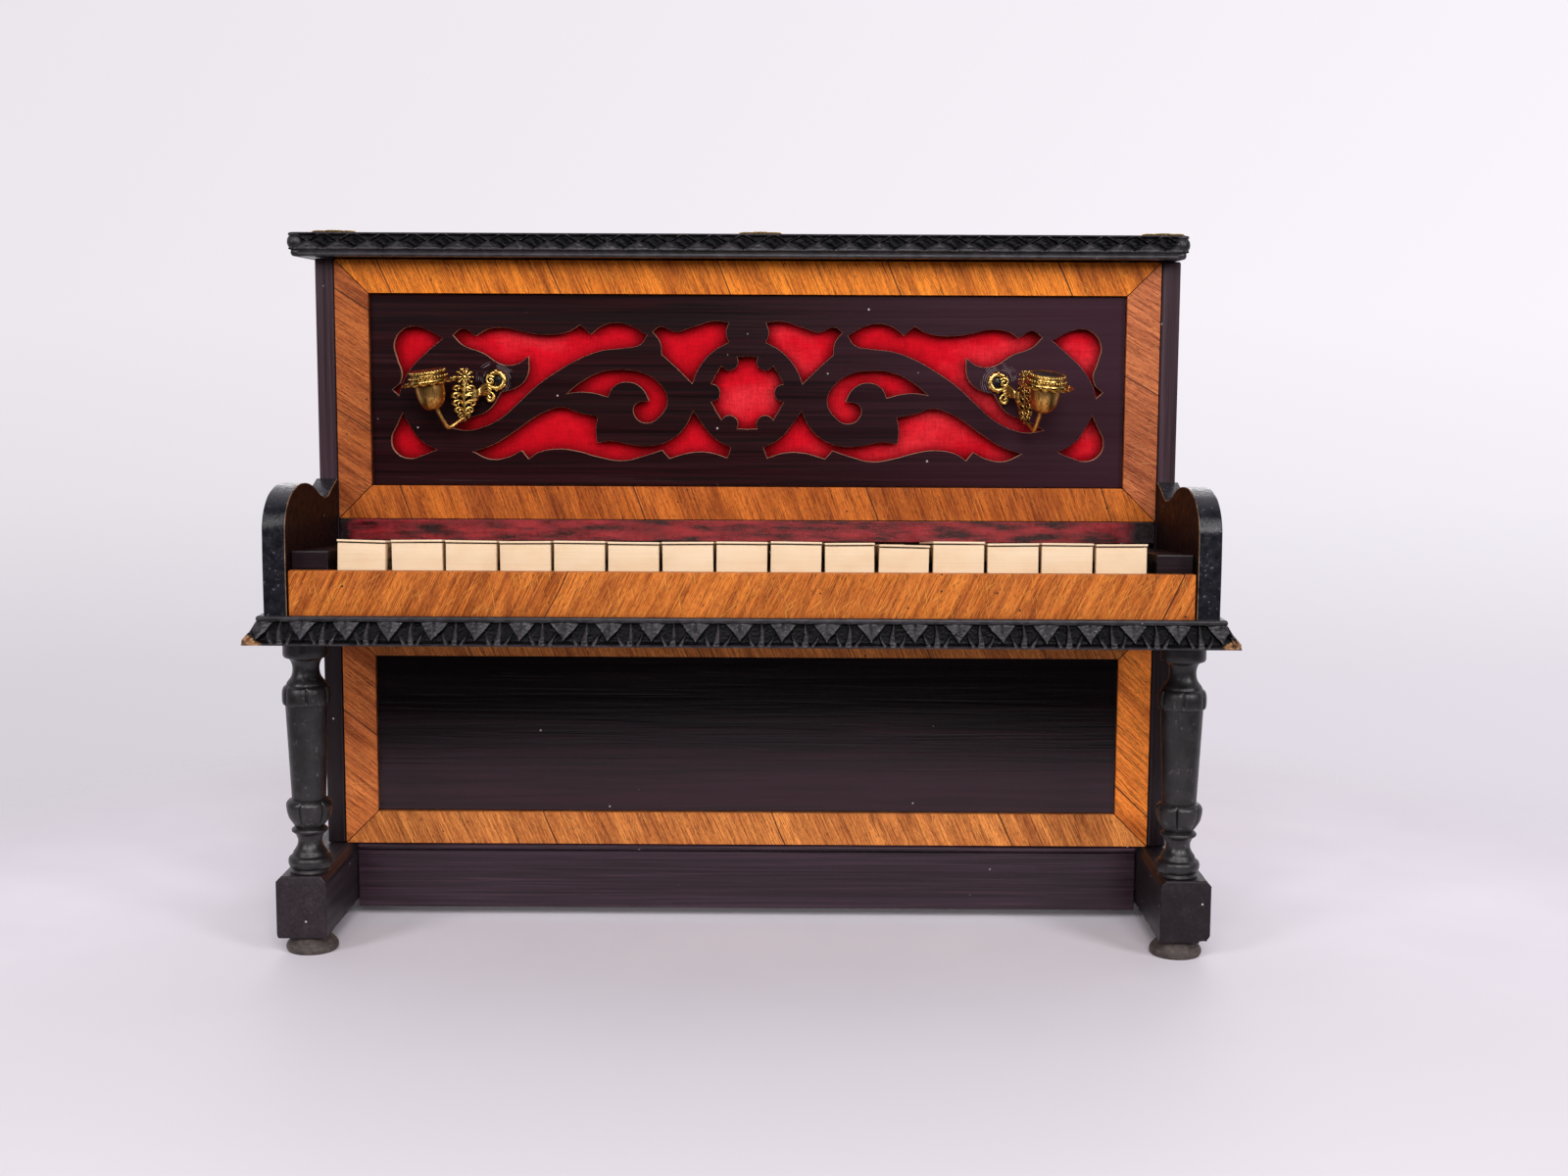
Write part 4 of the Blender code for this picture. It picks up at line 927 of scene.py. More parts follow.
def lid_profile():
    """Rows of the lid's edge from the bottom up: height, inset, and how much of the carving reaches them."""
    rows = [(0.0, 2.4, 0), (0.15 * MM, 1.9, 0), (0.7 * MM, 1.7, 0), (1.1 * MM, 1.95, 0), (1.9 * MM, 1.9, 0),
            (LID_BAND - 0.3 * MM, 1.5, 0), (LID_BAND, 0.8, 0)]
    carved = 22
    for index in range(carved + 1):
        share = index / carved
        ease = min(1.0, min(share, 1 - share) / 0.10)
        swell = 0.35 * (2 * share - 1)**2
        rows.append((LID_CARVED_FROM + (LID_HEIGHT - LID_BAND - 0.7 * MM) * share, 0.05 + swell, ease))
    rows += [(LID_HEIGHT - 0.2 * MM, 0.6, 0), (LID_HEIGHT, 1.0, 0)]
    return rows


def carved_strip(bm, rows, depth_at, length, to_world, carve, back, mitre=(True, True)):
    """A strip whose outer face is carved. to_world takes distance along, outward and height to a point.

    Rows are (height, inset in mm, share of carving). The strip runs from 0 to length at its outer edge, and
    is back deep; a mitred end slants inwards at 45 degrees. Faces deep in the carving take the second finish,
    a painted shade.
    """
    columns = int(length / CARVING_STEP)
    rings, depths = [], []
    for column in range(columns + 1):
        along = length * column / columns
        ring, line = [], []
        for height, inset, share in rows:
            jitter = 0.06 * noise.noise(Vector((along * 900, height * 1300, 11.0)))
            depth = share * depth_at(along, height) if share else 0.0
            outward = min(max(-(inset + carve * (depth + share * jitter)) * MM, -back + 0.3 * MM), 0.0)
            low = -outward if mitre[0] else 0.0
            high = length + outward if mitre[1] else length
            ring.append(to_world(min(max(along, low), high), outward, height))
            line.append(depth)
        low = back if mitre[0] else 0.0
        high = length - back if mitre[1] else length
        for height in (rows[-1][0], rows[0][0]):
            ring.append(to_world(min(max(along, low), high), -back, height))
        rings.append(ring)
        depths.append(line + [0.0, 0.0])
    for index, face in enumerate(add_loft(bm, rings)):
        column, row = divmod(index, len(rings[0]))
        if depths[column][row] > HOLLOW_DEPTH:
            face.material_index = 1
    bmesh.ops.dissolve_degenerate(bm, dist=1e-7, edges=bm.edges)


def make_lid():
    low, high, size = box_size("lid")
    left, right, front, bottom = low.x, high.x, low.y, low.z
    top = bottom + LID_HEIGHT
    gap = LID_CORNER_GAP
    rows = lid_profile()

    def depth_at(along, height):
        up = (height - LID_CARVED_FROM) / (LID_HEIGHT - LID_CARVED_FROM)
        return lattice_depth(along / LATTICE_PITCH, up)

    strips = {
        "front": (size.x - 2 * gap, lambda along, out, up: (left + gap + along, front - out, bottom + up)),
        "left": (size.y - gap, lambda along, out, up: (left - out, front + gap + along, bottom + up)),
        "right": (size.y - gap, lambda along, out, up: (right + out, front + gap + along, bottom + up)),
    }
    for name, (length, to_world) in strips.items():
        bm = bmesh.new()
        mitre = (True, name == "front")
        carved_strip(bm, rows, depth_at, length, to_world, LID_CARVE, STRIP_DEPTH, mitre)
        make_piece(f"lid_edge_{name}", bm, CARVED, LID, sharp=50)
    bm = bmesh.new()
    inset = STRIP_DEPTH - 0.05 * MM
    add_block(bm, (left + inset, front + inset, bottom), (right - inset, high.y, top - 0.15 * MM), 0.15 * MM)
    make_piece("lid_board_panel", bm, "ebonised", LID, replaces="lid")
    radius = LID_CORNER_RADIUS * MM
    make_lid_corner("left", (left + radius, front + radius, bottom))
    make_lid_corner("right", (right - radius, front + radius, bottom))
    for index, x in enumerate(LID_ORNAMENTS):
        make_lid_ornament(f"lid_ornament_{index + 1}", x, top)


def make_lid_corner(side, place):
    """A little turned column with two swellings that stands at the corner."""
    profile = [
        (-2.2, 0.0), (-1.6, 0.5), (-1.3, 1.4), (-1.5, 2.3), (-2.0, 2.8, CORNER), (-1.0, 3.2), (-0.2, 4.3),
        (0, 5.6), (-0.3, 7.0), (-0.9, 7.8, CORNER), (-0.5, 8.2), (-0.6, 8.9), (-1.3, LID_HEIGHT / MM)]
    profile = [(LID_CORNER_RADIUS + inset, *rest) for inset, *rest in profile]
    bm = bmesh.new()
    add_turned(bm, smooth_line(profile, 4), 40, Matrix.Translation(place) @ Matrix.Scale(MM, 4))
    make_piece(f"lid_{side}_corner", bm, "carving", LID, sharp=50)


def make_lid_ornament(name, x, top):
    """A small gilt shell: three looped lobes and a bead between each two."""
    bm = bmesh.new()
    for offset, radius, rise in ((-5.4, 2.6, 0.9), (0.0, 3.3, 1.15), (5.4, 2.6, 0.9)):
        ring = []
        for step in range(13):
            turn = FULL_TURN * step / 12
            ring.append((offset + radius * math.cos(turn), radius * 0.8 * math.sin(turn), rise * 0.55))
        add_tube(bm, ring, [0.62] * 13, steps=3, sides=8)
        add_ball(bm, (offset, 0, 0.4), (1.1, 1.0, rise * 0.9))
    for offset in (-2.7, 2.7):
        add_ball(bm, (offset, -1.4, 0.3), 0.8)
    make_piece(name, bm, "brass", LID, place=Matrix.Translation((x, 0, top)) @ Matrix.Scale(MM, 4))


# Moulding round the keybed

SPIKE_PITCH = 15.74 * MM
SPIKE_START = 0.335             # where the first pyramid stands, in repeats from the left end
MOULDING_CARVE = 2.5            # depth of the carving, in millimetres
FILLET = 1.9 * MM               # height of the plain fillet over the carving
MOULDING_FOOT = 0.45 * MM       # height of the plain edge under it


def spike_depth(along, down):
    """Depth of the moulding's carving: a pyramid at each whole number, and three spikes between each two.

    along is in repeats, and down runs from 0 to 1.
    """
    along += 0.05 * noise.noise(Vector((along * 1.7, down * 1.5, 2.0)))
    across = abs(along - round(along))
    half = 0.33 * (1 - down / 0.84)
    if across < half:
        groove = math.exp(-(across / 0.025)**2) * max(0.0, 1 - down / 0.6)
        return 0.02 + 0.38 * (across / half)**2 + 0.24 * groove
    middle = 0.5 - across
    half = 0.018 + 0.060 * down
    if middle < half:
        return 0.04 + 0.12 * (1 - down)**2 + 0.14 * middle / half
    if down > 0.48:
        share = (down - 0.48) / 0.52
        thick = 0.012 + 0.048 * share
        away = abs(across - 0.20 - 0.13 * share)
        if away < thick:
            return 0.06 + 0.18 * away / thick
    return 1.0


def moulding_rows(size_z):
    """Rows from the bottom up: an edge, an upright foot, the flaring face, a groove, and a rounded fillet."""
    rows = [(0.0, 0.3, 0), (0.15 * MM, 0.05, 0), (0.35 * MM, 0.0, 0)]
    face = 28
    bottom, top = MOULDING_FOOT, size_z - FILLET
    for index in range(face + 1):
        share = index / face
        ease = min(1.0, min(share / 0.05, (1 - share) / 0.03))
        flare = max(0.0, (share - 0.20) / 0.80)
        rows.append((bottom + (top - bottom) * share, 0.10 + 4.35 * flare, ease))
    for height, inset in ((1.80, 5.0), (1.65, 4.5), (1.1, 4.4), (0.5, 4.45), (0.15, 4.65), (0.0, 5.0)):
        rows.append((size_z - height * MM, inset, 0))
    return rows


def make_moulding():
    low, _, size = box_size("moulding_front")
    rows = moulding_rows(size.z)
    face = size.z - FILLET - MOULDING_FOOT

    def depth_at(along, height):
        return spike_depth(along / SPIKE_PITCH - SPIKE_START, 1 - (height - MOULDING_FOOT) / face)

    bm = bmesh.new()
    carved_strip(bm, rows, depth_at, size.x, lambda along, out, up: (low.x + along, low.y - out, low.z + up),
                 MOULDING_CARVE, size.y)
    make_piece("carved_moulding_front", bm, CARVED, replaces="moulding_front", sharp=50)
    for side, sign in SIDES:
        side_low, side_high, side_size = box_size(f"moulding_{side}")
        outer = side_low.x if sign < 0 else side_high.x
        bm = bmesh.new()
        carved_strip(bm, rows, depth_at, side_high.y - low.y,
                     lambda along, out, up: (outer + sign * out, low.y + along, low.z + up),
                     MOULDING_CARVE, side_size.x, (True, False))
        make_piece(f"carved_moulding_{side}", bm, CARVED, replaces=f"moulding_{side}", sharp=50)


# Arms

ARM_DIP = (                     # forward from the case side to the swell
    (-0.0060, 0.1778), (-0.0150, 0.1748), (-0.0260, 0.1764), (-0.0370, 0.1803))
ARM_SWELL = -0.0500
ARM_NOSE = (                    # from the swell down to the front
    (-0.0640, 0.1812), (-0.0750, 0.1766), (-0.0800, 0.1700))
NOSE_FOOT = 0.1640


def make_arms():
    """Cheek boards with a rounded nose, a dip, and a rise to the case side."""
    turn = Matrix.Rotation(math.pi / 2, 4, "Z") @ Matrix.Rotation(math.pi / 2, 4, "X")
    for side, sign in SIDES:
        low, high, size = box_size(f"{side}_arm")
        outline = [(low.y, low.z, CORNER), (high.y, low.z, CORNER), (high.y, high.z - 1.7 * MM, CORNER),
                   *ARM_DIP, (ARM_SWELL, high.z - 0.02 * MM), *ARM_NOSE, (low.y, NOSE_FOOT)]
        mesh = curve_mesh(f"{side}_arm_board", [outline], size.x, 0.3 * MM, 12, turn,
                          ((low.x + high.x) / 2, 0, 0))
        piece = make_piece(f"{side}_arm_board", mesh, ("ebonised", "rubbed", "arm_side"),
                           replaces=f"{side}_arm", sharp=12)
        for face in piece.data.polygons:
            if abs(face.normal.x) > 0.97:
                face.material_index = 2
            elif -sign * face.normal.x > 0.3:
                face.material_index = 1


# Legs and feet: (radius, height) in millimetres, from the top down

LEG_PROFILE = [
    (8.2, 126.15, CORNER), (8.6, 125.8, CORNER), (8.6, 116.0, CORNER), (8.2, 115.2, CORNER), (6.1, 114.2),
    (5.1, 111.4), (5.5, 108.0), (7.3, 105.3, CORNER), (7.6, 104.4, CORNER), (8.7, 103.4), (9.2, 101.4),
    (9.2, 98.2), (8.9, 97.0, CORNER), (8.1, 96.6, CORNER), (6.5, 60.0, CORNER), (7.6, 59.6), (8.7, 58.2),
    (8.8, 56.4), (8.1, 53.0), (5.9, 49.6, CORNER), (5.5, 49.0, CORNER), (6.7, 48.2), (6.8, 47.2),
    (5.4, 46.1, CORNER), (4.6, 43.8), (5.0, 41.4), (6.4, 39.2, CORNER), (6.8, 37.9, CORNER), (8.1, 36.9),
    (8.4, 35.2), (7.9, 33.4), (7.0, 32.6, CORNER), (7.7, 31.55, CORNER)]
FOOT_PROFILE = [
    (6.6, 6.4, CORNER), (7.1, 6.2), (7.6, 5.4), (9.4, 3.4), (10.0, 2.0), (9.8, 0.8), (9.2, 0.0, CORNER)]
BULBS = (((96.9, 104.4), {"left": 13.0, "right": -7.0}), ((49.4, 59.8), {"left": -11.0, "right": -16.0}))
LOBES = 6
RAIL_CHAMFER = 2.2 * MM
RAIL_STEP = 1.2 * MM            # between the points round a foot rail
RAIL_STATIONS = 60
RAIL_ENDS = [(0.0, 0.6), (0.15, 0.25), (0.5, 0.0)]     # distance from its end and inset, in millimetres
BITE_SIZE = Vector((3.0, 4.0, 2.5)) * MM    # the corner that is lost from the right rail


def lobed(side):
    """Swells the two bulbs into lobes with narrow creases between them, turned as BULBS says."""
    def radius_at(radius, height, angle):
        for (low, high), turns in BULBS:
            if low < height < high:
                share = (height - low) / (high - low)
                strength = min(1.0, 5 * min(share, 1 - share))
                phase = (math.degrees(angle) + 90 - turns[side]) * LOBES / 360
                away = abs(phase - round(phase))
                crease = 0.60 * math.exp(-(away / 0.030)**2) + 0.45 * (1 - 2 * away)**4
                return radius - crease * strength
        return radius
    return radius_at


def make_legs():
    for side, sign in SIDES:
        posts = [("leg", f"{side}_turned_leg", "leg", LEG_PROFILE, 180, lobed(side), 40)]
        for end in ("front", "rear"):
            posts.append((f"{end}_foot", f"{side}_{end}_bun_foot", "foot", FOOT_PROFILE, 64, None, 35))
        for node, name, finish, profile, segments, radius_at, sharp in posts:
            low, high, _ = box_size(f"{side}_{node}")
            place = Matrix.Translation(((low.x + high.x) / 2, (low.y + high.y) / 2, 0)) @ Matrix.Scale(MM, 4)
            bm = bmesh.new()
            add_turned(bm, smooth_line(profile, 5), segments, place, radius_at)
            make_piece(name, bm, finish, replaces=f"{side}_{node}", sharp=sharp)
        make_foot_rail(side, sign)


def rail_section(half, height):
    """Points round a foot rail: eased below and chamfered above."""
    chamfer, ease = RAIL_CHAMFER, 0.5 * MM
    outline = [(-half + ease, 0), (half - ease, 0), (half, ease), (half, height - chamfer),
               (half - chamfer, height), (-half + chamfer, height), (-half, height - chamfer), (-half, ease)]
    section = []
    for start, end in zip(outline, outline[1:] + outline[:1]):
        start, end = Vector(start), Vector(end)
        parts = max(2, round((end - start).length / RAIL_STEP))
        section += [start.lerp(end, part / parts) for part in range(parts)]
    return section


def make_foot_rail(side, sign):
    """A chamfered rail, with knocks along its edges; the right one has lost its lower front corner."""
    low, high, size = box_size(f"{side}_foot_rail")
    half, height = size.x / 2, size.z
    centre_x = (low.x + high.x) / 2
    stations = [(low.y + y * MM, inset) for y, inset in RAIL_ENDS]
    length = size.y - 2.0 * MM
    stations += [(low.y + 1.0 * MM + length * step / RAIL_STATIONS, 0.0) for step in range(RAIL_STATIONS + 1)]
    stations += [(high.y - y * MM, inset) for y, inset in reversed(RAIL_ENDS)]
    section = rail_section(half, height)
    rings = []
    for y, inset in stations:
        ring = []
        for x, z in section:
            near_edge = math.exp(-min(abs(abs(x) - half), 2 * MM) / (0.6 * MM))
            near_edge *= math.exp(-min(z, height - z) / (2.5 * MM))
            rough = noise.noise(Vector((x * 400 + sign * 7, y * 260, z * 400)))
            knock = max(0.0, rough - 0.05) * 0.9 * near_edge
            shrink = 1 - (inset + knock) * MM / half
            px, pz = x * shrink, height / 2 + (z - height / 2) * shrink
            if side == "right" and z < BITE_SIZE.z and x > half - BITE_SIZE.x and y < low.y + BITE_SIZE.y:
                bite = (1 - z / BITE_SIZE.z) * (1 - (y - low.y) / BITE_SIZE.y)
                bite *= 0.75 + 0.5 * noise.noise(Vector((x * 900, y * 900, z * 900)))
                px -= 1.6 * MM * bite
                pz += 1.0 * MM * bite
            ring.append((centre_x + px, y, low.z + pz))
        rings.append(ring)
    bm = bmesh.new()
    add_loft(bm, rings)
    make_piece(f"{side}_foot_block", bm, f"{side}_foot_rail", replaces=f"{side}_foot_rail", sharp=30)


# Keys, in millimetres from the balance wire

KEY_SET = [                     # small differences in height (mm) and lean (degrees), left to right
    (0.2, 1.4), (0.35, -0.5), (0.2, 0.4), (0.05, -0.4), (0.2, 0.4), (-0.1, 0.3), (0.05, -0.5), (0.2, 0.4),
    (0.3, 0.6), (-0.05, -0.5), (-0.7, 1.0), (0.6, 0.2), (0.05, -0.6), (0.2, 0.3), (-0.1, -0.4)]
KEY_TRIM = {1: 1.0, 10: 0.5, 11: 0.3}       # how much narrower some coverings are on their right
KEY_PIVOT = (0.0200, 0.1500)    # Y and Z of the balance wire, in metres
KEY_TILT = math.radians(-5.7)
KEY_FRONT, KEY_BOTTOM, KEY_TOP = -95.0, -3.3, 3.7
IVORY_BACK = -17.6
APRON_TOP, APRON_BOTTOM = KEY_TOP - 1.25, KEY_TOP - 19.5
APRON_THICKNESS = 4.6


def ivory_apron(half, right):
    """Rings of the covering that hangs in front of a key, upright when the key is at rest."""
    drop = math.tan(-KEY_TILT) * (APRON_TOP - APRON_BOTTOM)
    rings = []
    for x, inset in ((-half + 0.1, 0.3), (-half + 0.2, 0.1), (-half + 0.45, 0.0), (right - 0.55, 0.0),
                     (right - 0.3, 0.1), (right - 0.2, 0.3)):
        face = KEY_FRONT + 0.25 + inset
        back = face + APRON_THICKNESS
        rings.append([(x, face, APRON_TOP), (x, back, APRON_TOP), (x, back, APRON_BOTTOM),
                      (x, face + drop, APRON_BOTTOM)])
    return rings


def make_keys():
    """Ivory plates and fronts on wooden levers, each with its hammer."""
    for number, (rise, lean) in enumerate(KEY_SET, start=1):
        node = f"key_{number:02d}"
        body = f"{node}_lever"
        low, high, size = box_size(node)
        pivot = ((low.x + high.x) / 2, *KEY_PIVOT)
        rest = Matrix.Translation(pivot) @ Matrix.Rotation(KEY_TILT, 4, "X") @ Matrix.Scale(MM, 4)
        settled = rest @ Matrix.Translation((0, 0, rise)) @ Matrix.Rotation(math.radians(lean), 4, "Y")
        half = size.x / 2 / MM - 0.1
        right = half - KEY_TRIM.get(number, 0.0)
        bm = bmesh.new()
        add_block(bm, (-half, KEY_FRONT - 0.6, KEY_TOP - 0.75), (right, IVORY_BACK, KEY_TOP), 0.22)
        make_piece(f"{node}_ivory_top", bm, "ivory", body, replaces=node, place=settled)
        bm = bmesh.new()
        add_loft(bm, ivory_apron(half, right))
        make_piece(f"{node}_ivory_front", bm, "ivory", body, place=settled)
        bm = bmesh.new()
        add_block(bm, (-half + 0.2, KEY_FRONT + 2.2, KEY_BOTTOM), (right - 0.3, -18.0, KEY_TOP - 0.8), 0.2)
        add_block(bm, (-4.5, -18.5, KEY_BOTTOM + 0.1), (4.5, 41.0, KEY_TOP - 0.2), 0.3)
        add_block(bm, (-4.0, 36.0, -10.3), (4.0, 39.5, -2.0), 0.3)
        make_piece(f"{node}_wood", bm, "lever", body, place=rest)
        bm = bmesh.new()
        add_block(bm, (-1.6, 29.0, 0.0), (1.6, 31.0, 13.0), 0.3)
        add_block(bm, (-3.5, 27.5, 11.5), (3.5, 32.5, 18.0), 0.9)
        make_piece(f"{node}_hammer", bm, "lever", body, place=rest)


# Candle sconces, in millimetres from the swivel pin: reach along the arm, sideways, and height

SCONCE_PIVOT = (0.1078, -0.0033, 0.2150)
SCONCE_DIRECTIONS = {"left": 210.0, "right": -65.0}
CUP_REACH = 17.0
CUP_LEAN = {"left": 9.0, "right": 12.0}     # how far each cup has dropped outwards, in degrees
CUP_PROFILE = [
    (0.4, -6.5, CORNER), (1.8, -6.3), (3.3, -5.5), (4.6, -3.9), (5.4, -1.6), (5.75, 1.0), (5.8, 3.2),
    (5.6, 4.2, CORNER)]
WELL_PROFILE = [(5.5, 8.9, CORNER), (5.1, 8.7), (4.7, 7.9, CORNER), (4.6, 1.0, CORNER), (0.4, 0.9, CORNER)]
SOCKET_PROFILE = [
    (6.0, 4.2, CORNER), (7.6, 4.8), (7.5, 5.5, CORNER), (7.1, 5.9), (7.4, 6.6), (6.8, 7.1, CORNER),
    (6.6, 7.6, CORNER), (7.0, 8.1), (6.8, 8.8), (6.1, 9.2, CORNER), (5.5, 9.0, CORNER), (5.5, 5.0, CORNER)]
PAN_ROWS = [                    # radius, height, how far the rim's wave reaches them
    (5.4, 3.6, 0), (7.6, 3.9, 0.25), (9.7, 4.0, 0.8), (10.7, 4.2, 1.0), (10.9, 4.5, 1.0), (10.4, 4.75, 1.0),
    (8.8, 4.7, 0.6), (7.2, 4.8, 0.2), (6.0, 5.0, 0)]
PAN_LOBES = 16
BEADS = [                       # radius, height, count, size
    (6.80, 8.65, 34, 0.46), (7.35, 6.60, 36, 0.46), (9.0, 4.80, PAN_LOBES, 0.36)]
LEAF_REACH = 4.3
LEAF_RIB = [(3.7, 0, 4.6), (4.2, 0, 1.0), (4.3, 0, -3.5), (4.0, 0, -7.5), (3.9, 0, -11.0)]
LEAF_LOBES = [                  # height on the rib, reach of the curl, drop of the curl, size
    (2.2, 4.3, 0.9, 1.0), (-0.6, 4.7, 1.2, 1.1), (-3.5, 4.4, 1.3, 1.05), (-6.2, 3.5, 1.2, 0.9),
    (-8.4, 2.2, 1.0, 0.7)]
CURL_RADII = (0.45, 0.66, 0.60, 0.50, 0.42)
VEIN_RADII = (0.32, 0.46, 0.42, 0.30)
FLOWER_CENTRE = (3.9, 0.0, 6.4)
PETALS = 10
WIRE = [(3.9, 0, -9.6), (5.3, 0, -10.1), (8.5, 0, -12.3), (11.0, 0, -13.1), (13.3, 0, -10.0), (15.6, 0, -5.6)]
RING_X, RING_Z = 8.0, 5.0       # middle of the eyelet, towards the middle of the panel and up
RING_RADIUS = 3.1
VOLUTE_X, VOLUTE_Z = 5.4, -1.8


def add_beads(bm, radius, height, count, size, place):
    for index in range(count):
        centre = place @ polar(radius, FULL_TURN * index / count, height)
        add_ball(bm, centre, (size, size, size * 1.15), segments=8)


def add_pan(bm, place):
    """A thin scalloped drip pan whose rim waves up and down."""
    rings = []
    sides = PAN_LOBES * 8
    for radius, height, wave in PAN_ROWS:
        ring = []
        for index in range(sides):
            turn = FULL_TURN * index / sides
            lobe = abs(math.sin(PAN_LOBES * turn / 2))
            reach = radius - 1.1 * wave * (1 - lobe)
            ring.append(place @ polar(reach, turn, height - 0.55 * wave * (lobe - 0.5)))
        rings.append(ring)
    add_loft(bm, rings)


def add_flower(bm, side):
    """Petals round a bead, facing sideways from the leaf."""
    centre = Vector(FLOWER_CENTRE)
    for petal in range(PETALS):
        turn = FULL_TURN * petal / PETALS
        spot = upright(centre + Vector((0, side * 0.6, 0)), 1.9, turn)
        tip = upright(centre + Vector((0, side * 0.95, 0)), 3.2, turn)
        add_ball(bm, spot, (1.5, 0.40, 0.42), turn=Matrix.Rotation(-turn, 4, "Y"))
        add_ball(bm, tip, (0.50, 0.45, 0.50), segments=8)
    add_ball(bm, centre + Vector((0, side * 0.9, 0)), (0.9, 0.6, 0.9))


def add_leaf(bm):
    """A rib with pairs of curled lobes, each with a vein on it, modelled on both faces."""
    add_tube(bm, LEAF_RIB, [0.75, 0.9, 0.8, 0.6, 0.5])
    for height, reach, drop, size in LEAF_LOBES:
        path = [(0.0, 0.15, height - 0.9), (0.50 * reach, 0.45, height + 0.6),
                (0.88 * reach, 0.6, height + 0.45), (reach, 0.5, height - 0.45 * drop),
                (0.80 * reach, 0.6, height - drop)]
        for way in (-1, 1):
            for face in (-1, 1):
                curl = [(LEAF_REACH + way * x, y * face, z) for x, y, z in path]
                vein = [(LEAF_REACH + way * x * 0.66, y * face * 1.7, z - 0.75) for x, y, z in path[:4]]
                add_tube(bm, curl, [radius * size for radius in CURL_RADII], steps=4, sides=8)
                add_ball(bm, curl[-1], 0.55 * size, segments=8)
                add_tube(bm, vein, [radius * size for radius in VEIN_RADII], steps=4, sides=6)


def make_sconce_arm(side, pivot):
    """The swinging half: leaf, flower, hooked wire, and a candle cup with its drip pan and dark well."""
    swing = Matrix.Translation(pivot) @ Matrix.Rotation(math.radians(SCONCE_DIRECTIONS[side]), 4, "Z")
    riding = {"body": f"{side}_sconce", "place": swing @ Matrix.Scale(MM, 4)}
    lean = Matrix.Translation((CUP_REACH, 0, -5.0)) @ Matrix.Rotation(math.radians(CUP_LEAN[side]), 4, "Y")
    cup_place = lean @ Matrix.Translation((0, 0, 5.0))

    bm = bmesh.new()
    add_tube(bm, [(0, 0, -1.5), (0, 0, 1.5)], [1.7, 1.7], steps=1, sides=20)
    add_tube(bm, [(0.4, 0, 0.2), (1.9, 0, 0.9), (4.0, 0, 1.4)], [0.9, 0.75, 0.7])
    add_leaf(bm)
    for face in (-1, 1):
        add_flower(bm, face)
    add_tube(bm, [(5.9, 0, 6.0), (8.0, 0, 6.4), (9.8, 0, 5.4)], [0.7, 0.55, 0.6])
    make_piece(f"{side}_sconce_leaf", bm, "brass", replaces=f"{side}_sconce_arm", sharp=60, **riding)

    bm = bmesh.new()
    add_tube(bm, WIRE, [0.55, 0.65, 0.80, 0.95, 0.85, 0.95], steps=6, sides=12)
    make_piece(f"{side}_sconce_wire", bm, "satin_brass", sharp=60, **riding)

    bm = bmesh.new()
    add_turned(bm, smooth_line(CUP_PROFILE, 6), 48, cup_place)
    make_piece(f"{side}_sconce_cup", bm, "satin_brass", sharp=40, **riding)

    bm = bmesh.new()
    add_turned(bm, smooth_line(SOCKET_PROFILE, 4), 64, cup_place)
    add_pan(bm, cup_place)
    for beads in BEADS:
        add_beads(bm, *beads, cup_place)
    make_piece(f"{side}_sconce_pan", bm, "brass", sharp=40, **riding)

    bm = bmesh.new()
    add_turned(bm, smooth_line(WELL_PROFILE, 4), 48, cup_place)
    make_piece(f"{side}_sconce_well", bm, "leg", sharp=40, **riding)


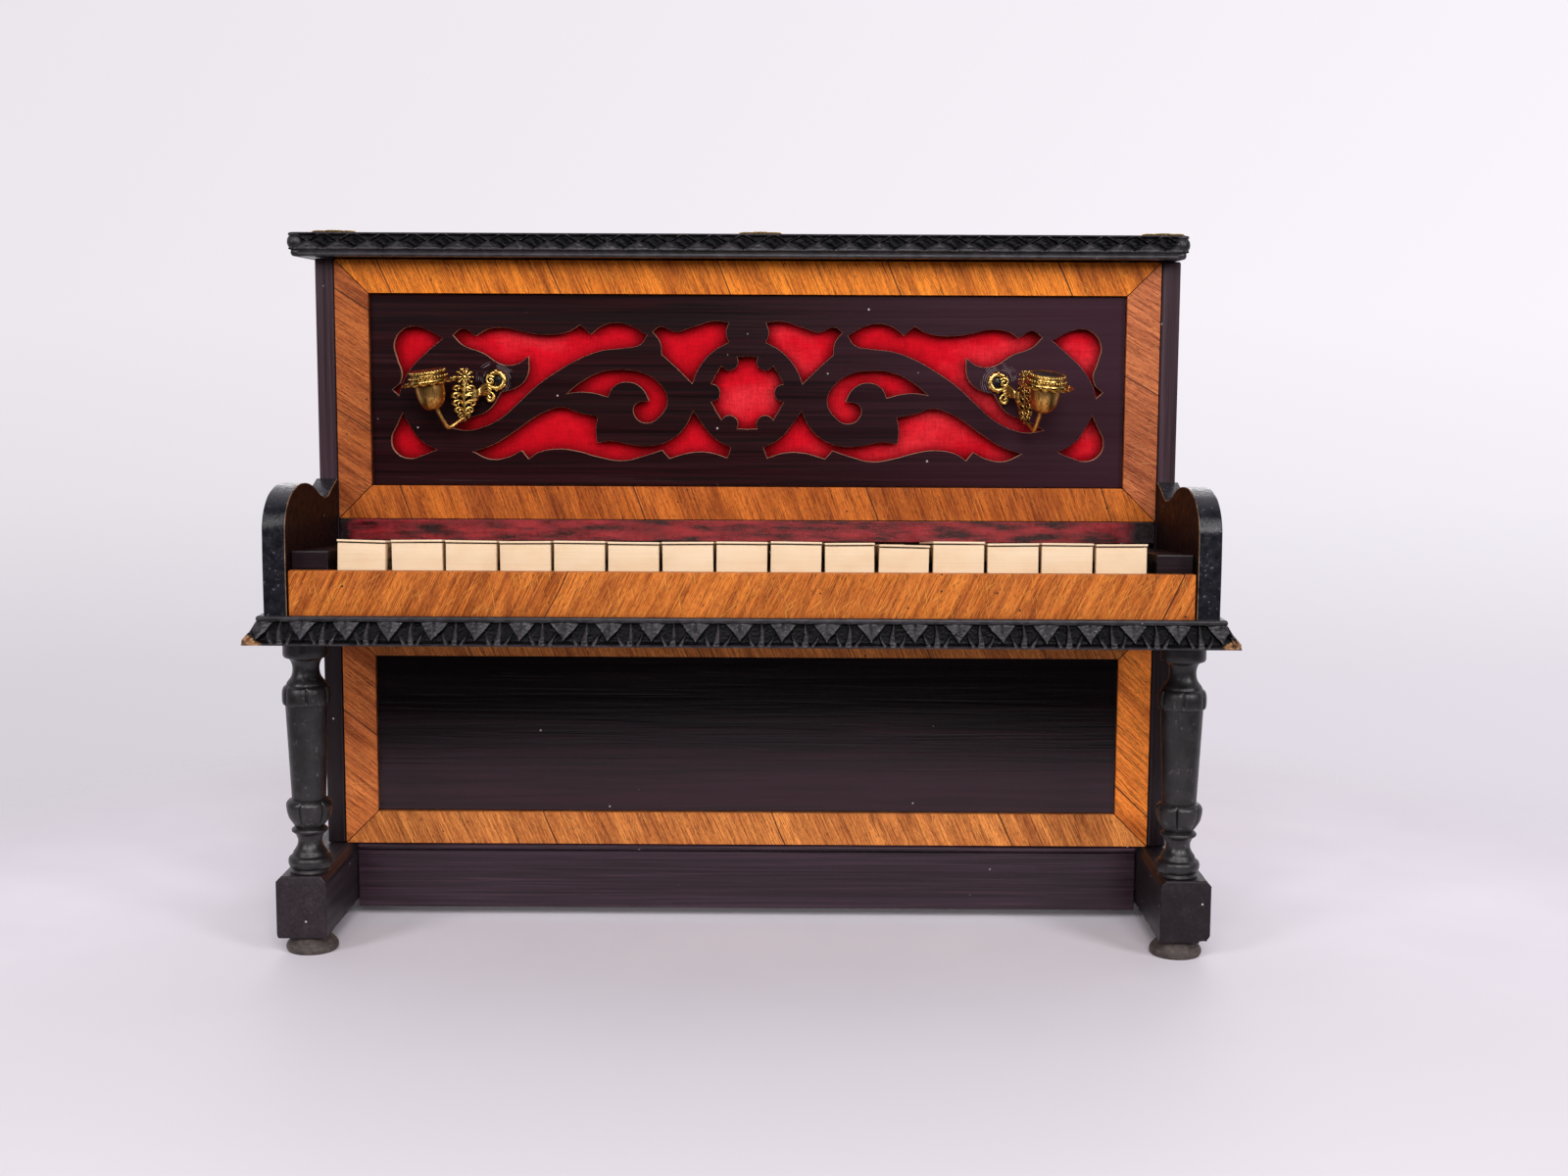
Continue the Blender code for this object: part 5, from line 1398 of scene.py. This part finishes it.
def make_sconce_bracket(side, sign, pivot):
    """The fixed half: a scrolled eyelet on the panel, curled leaves, and the lug with the swivel pin."""
    place = Matrix.Translation(pivot) @ Matrix.Diagonal((-sign, 1, 1, 1)) @ Matrix.Scale(MM, 4)
    face = (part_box("fret_panel")[0].y - pivot.y) / MM - 0.3
    bm = bmesh.new()
    last = 14
    loop = []
    for step in range(last + 1):
        centre = (RING_X, face - 1.6 - 1.2 * (1 - step / last), RING_Z)
        loop.append(upright(centre, RING_RADIUS, math.radians(215 + 330 * step / last)))
    add_tube(bm, loop, [1.15 - 0.04 * abs(step - last / 2) for step in range(last + 1)], steps=4, sides=12)
    for turn in range(150, 480, 30):
        bead = upright((RING_X, face - 2.5, RING_Z), RING_RADIUS + 0.6, math.radians(turn))
        add_ball(bm, bead, 0.85 if turn % 60 else 0.6, segments=8)
    curl = []
    for step in range(9):
        centre = (RING_X - 2.2, face - 3.6 - 0.05 * step, RING_Z)
        curl.append(upright(centre, 1.9 - 0.18 * step, math.radians(40 + 55 * step)))
    add_tube(bm, curl, [0.62] * 8 + [0.5], steps=4)
    for spread, lift in ((0.0, 2.0), (0.35, 0.7), (0.7, -0.6), (1.0, -1.9)):
        path = [(0.5, 0.9, -2.2 + 0.4 * spread), (1.8, 1.3, 0.3 + lift * 0.5),
                (4.2, face - 3.9, 1.6 + lift * 0.9), (6.4 - spread, face - 3.2, 0.8 + lift * 0.6)]
        add_tube(bm, path, [0.45, 0.68, 0.78, 0.6], steps=6)
    volute = []
    for step in range(10):
        centre = (VOLUTE_X, face - 3.0 - 0.06 * step, VOLUTE_Z)
        volute.append(upright(centre, 2.1 - 0.18 * step, math.radians(100 - 42 * step)))
    add_tube(bm, volute, [0.65] * 9 + [0.5], steps=4)
    add_ball(bm, (VOLUTE_X, face - 3.4, VOLUTE_Z), (0.8, 0.7, 0.8))
    stem = [(RING_X - 0.5, face, RING_Z - 2.5), (RING_X - 1.6, face - 2.2, RING_Z - 3.6)]
    add_tube(bm, stem, [1.2, 1.0], steps=3)
    add_tube(bm, [(0, 0, -1.9), (0, 0, -3.0)], [1.8, 1.5], steps=1, sides=20)
    add_tube(bm, [(0, 0, -2.6), (0, 0, 2.2)], [0.65, 0.65], steps=1, sides=12)
    make_piece(f"{side}_sconce_scroll", bm, "brass", replaces=f"{side}_sconce_bracket", sharp=60, place=place)
    bm = bmesh.new()
    head = Matrix.Translation((RING_X, face - 0.4, RING_Z)) @ Matrix.Rotation(math.pi / 2, 4, "X")
    add_turned(bm, [(2.2, -0.9), (2.2, -0.2), (1.6, 0.5), (0.3, 0.7)], 24, head)
    make_piece(f"{side}_sconce_screw", bm, "ebonised", slot="steel", place=place)


def make_sconces():
    for side, sign in SIDES:
        pivot = Vector((sign * SCONCE_PIVOT[0], *SCONCE_PIVOT[1:]))
        make_sconce_bracket(side, sign, pivot)
        make_sconce_arm(side, pivot)


def main():
    bpy.context.scene.view_settings.view_transform = "Standard"
    make_camera()
    make_world()
    make_floor()
    make_lights()
    make_finishes()
    dress_case()
    make_fret()
    make_cloth()
    make_lid()
    make_moulding()
    make_arms()
    make_legs()
    make_keys()
    make_sconces()


main()
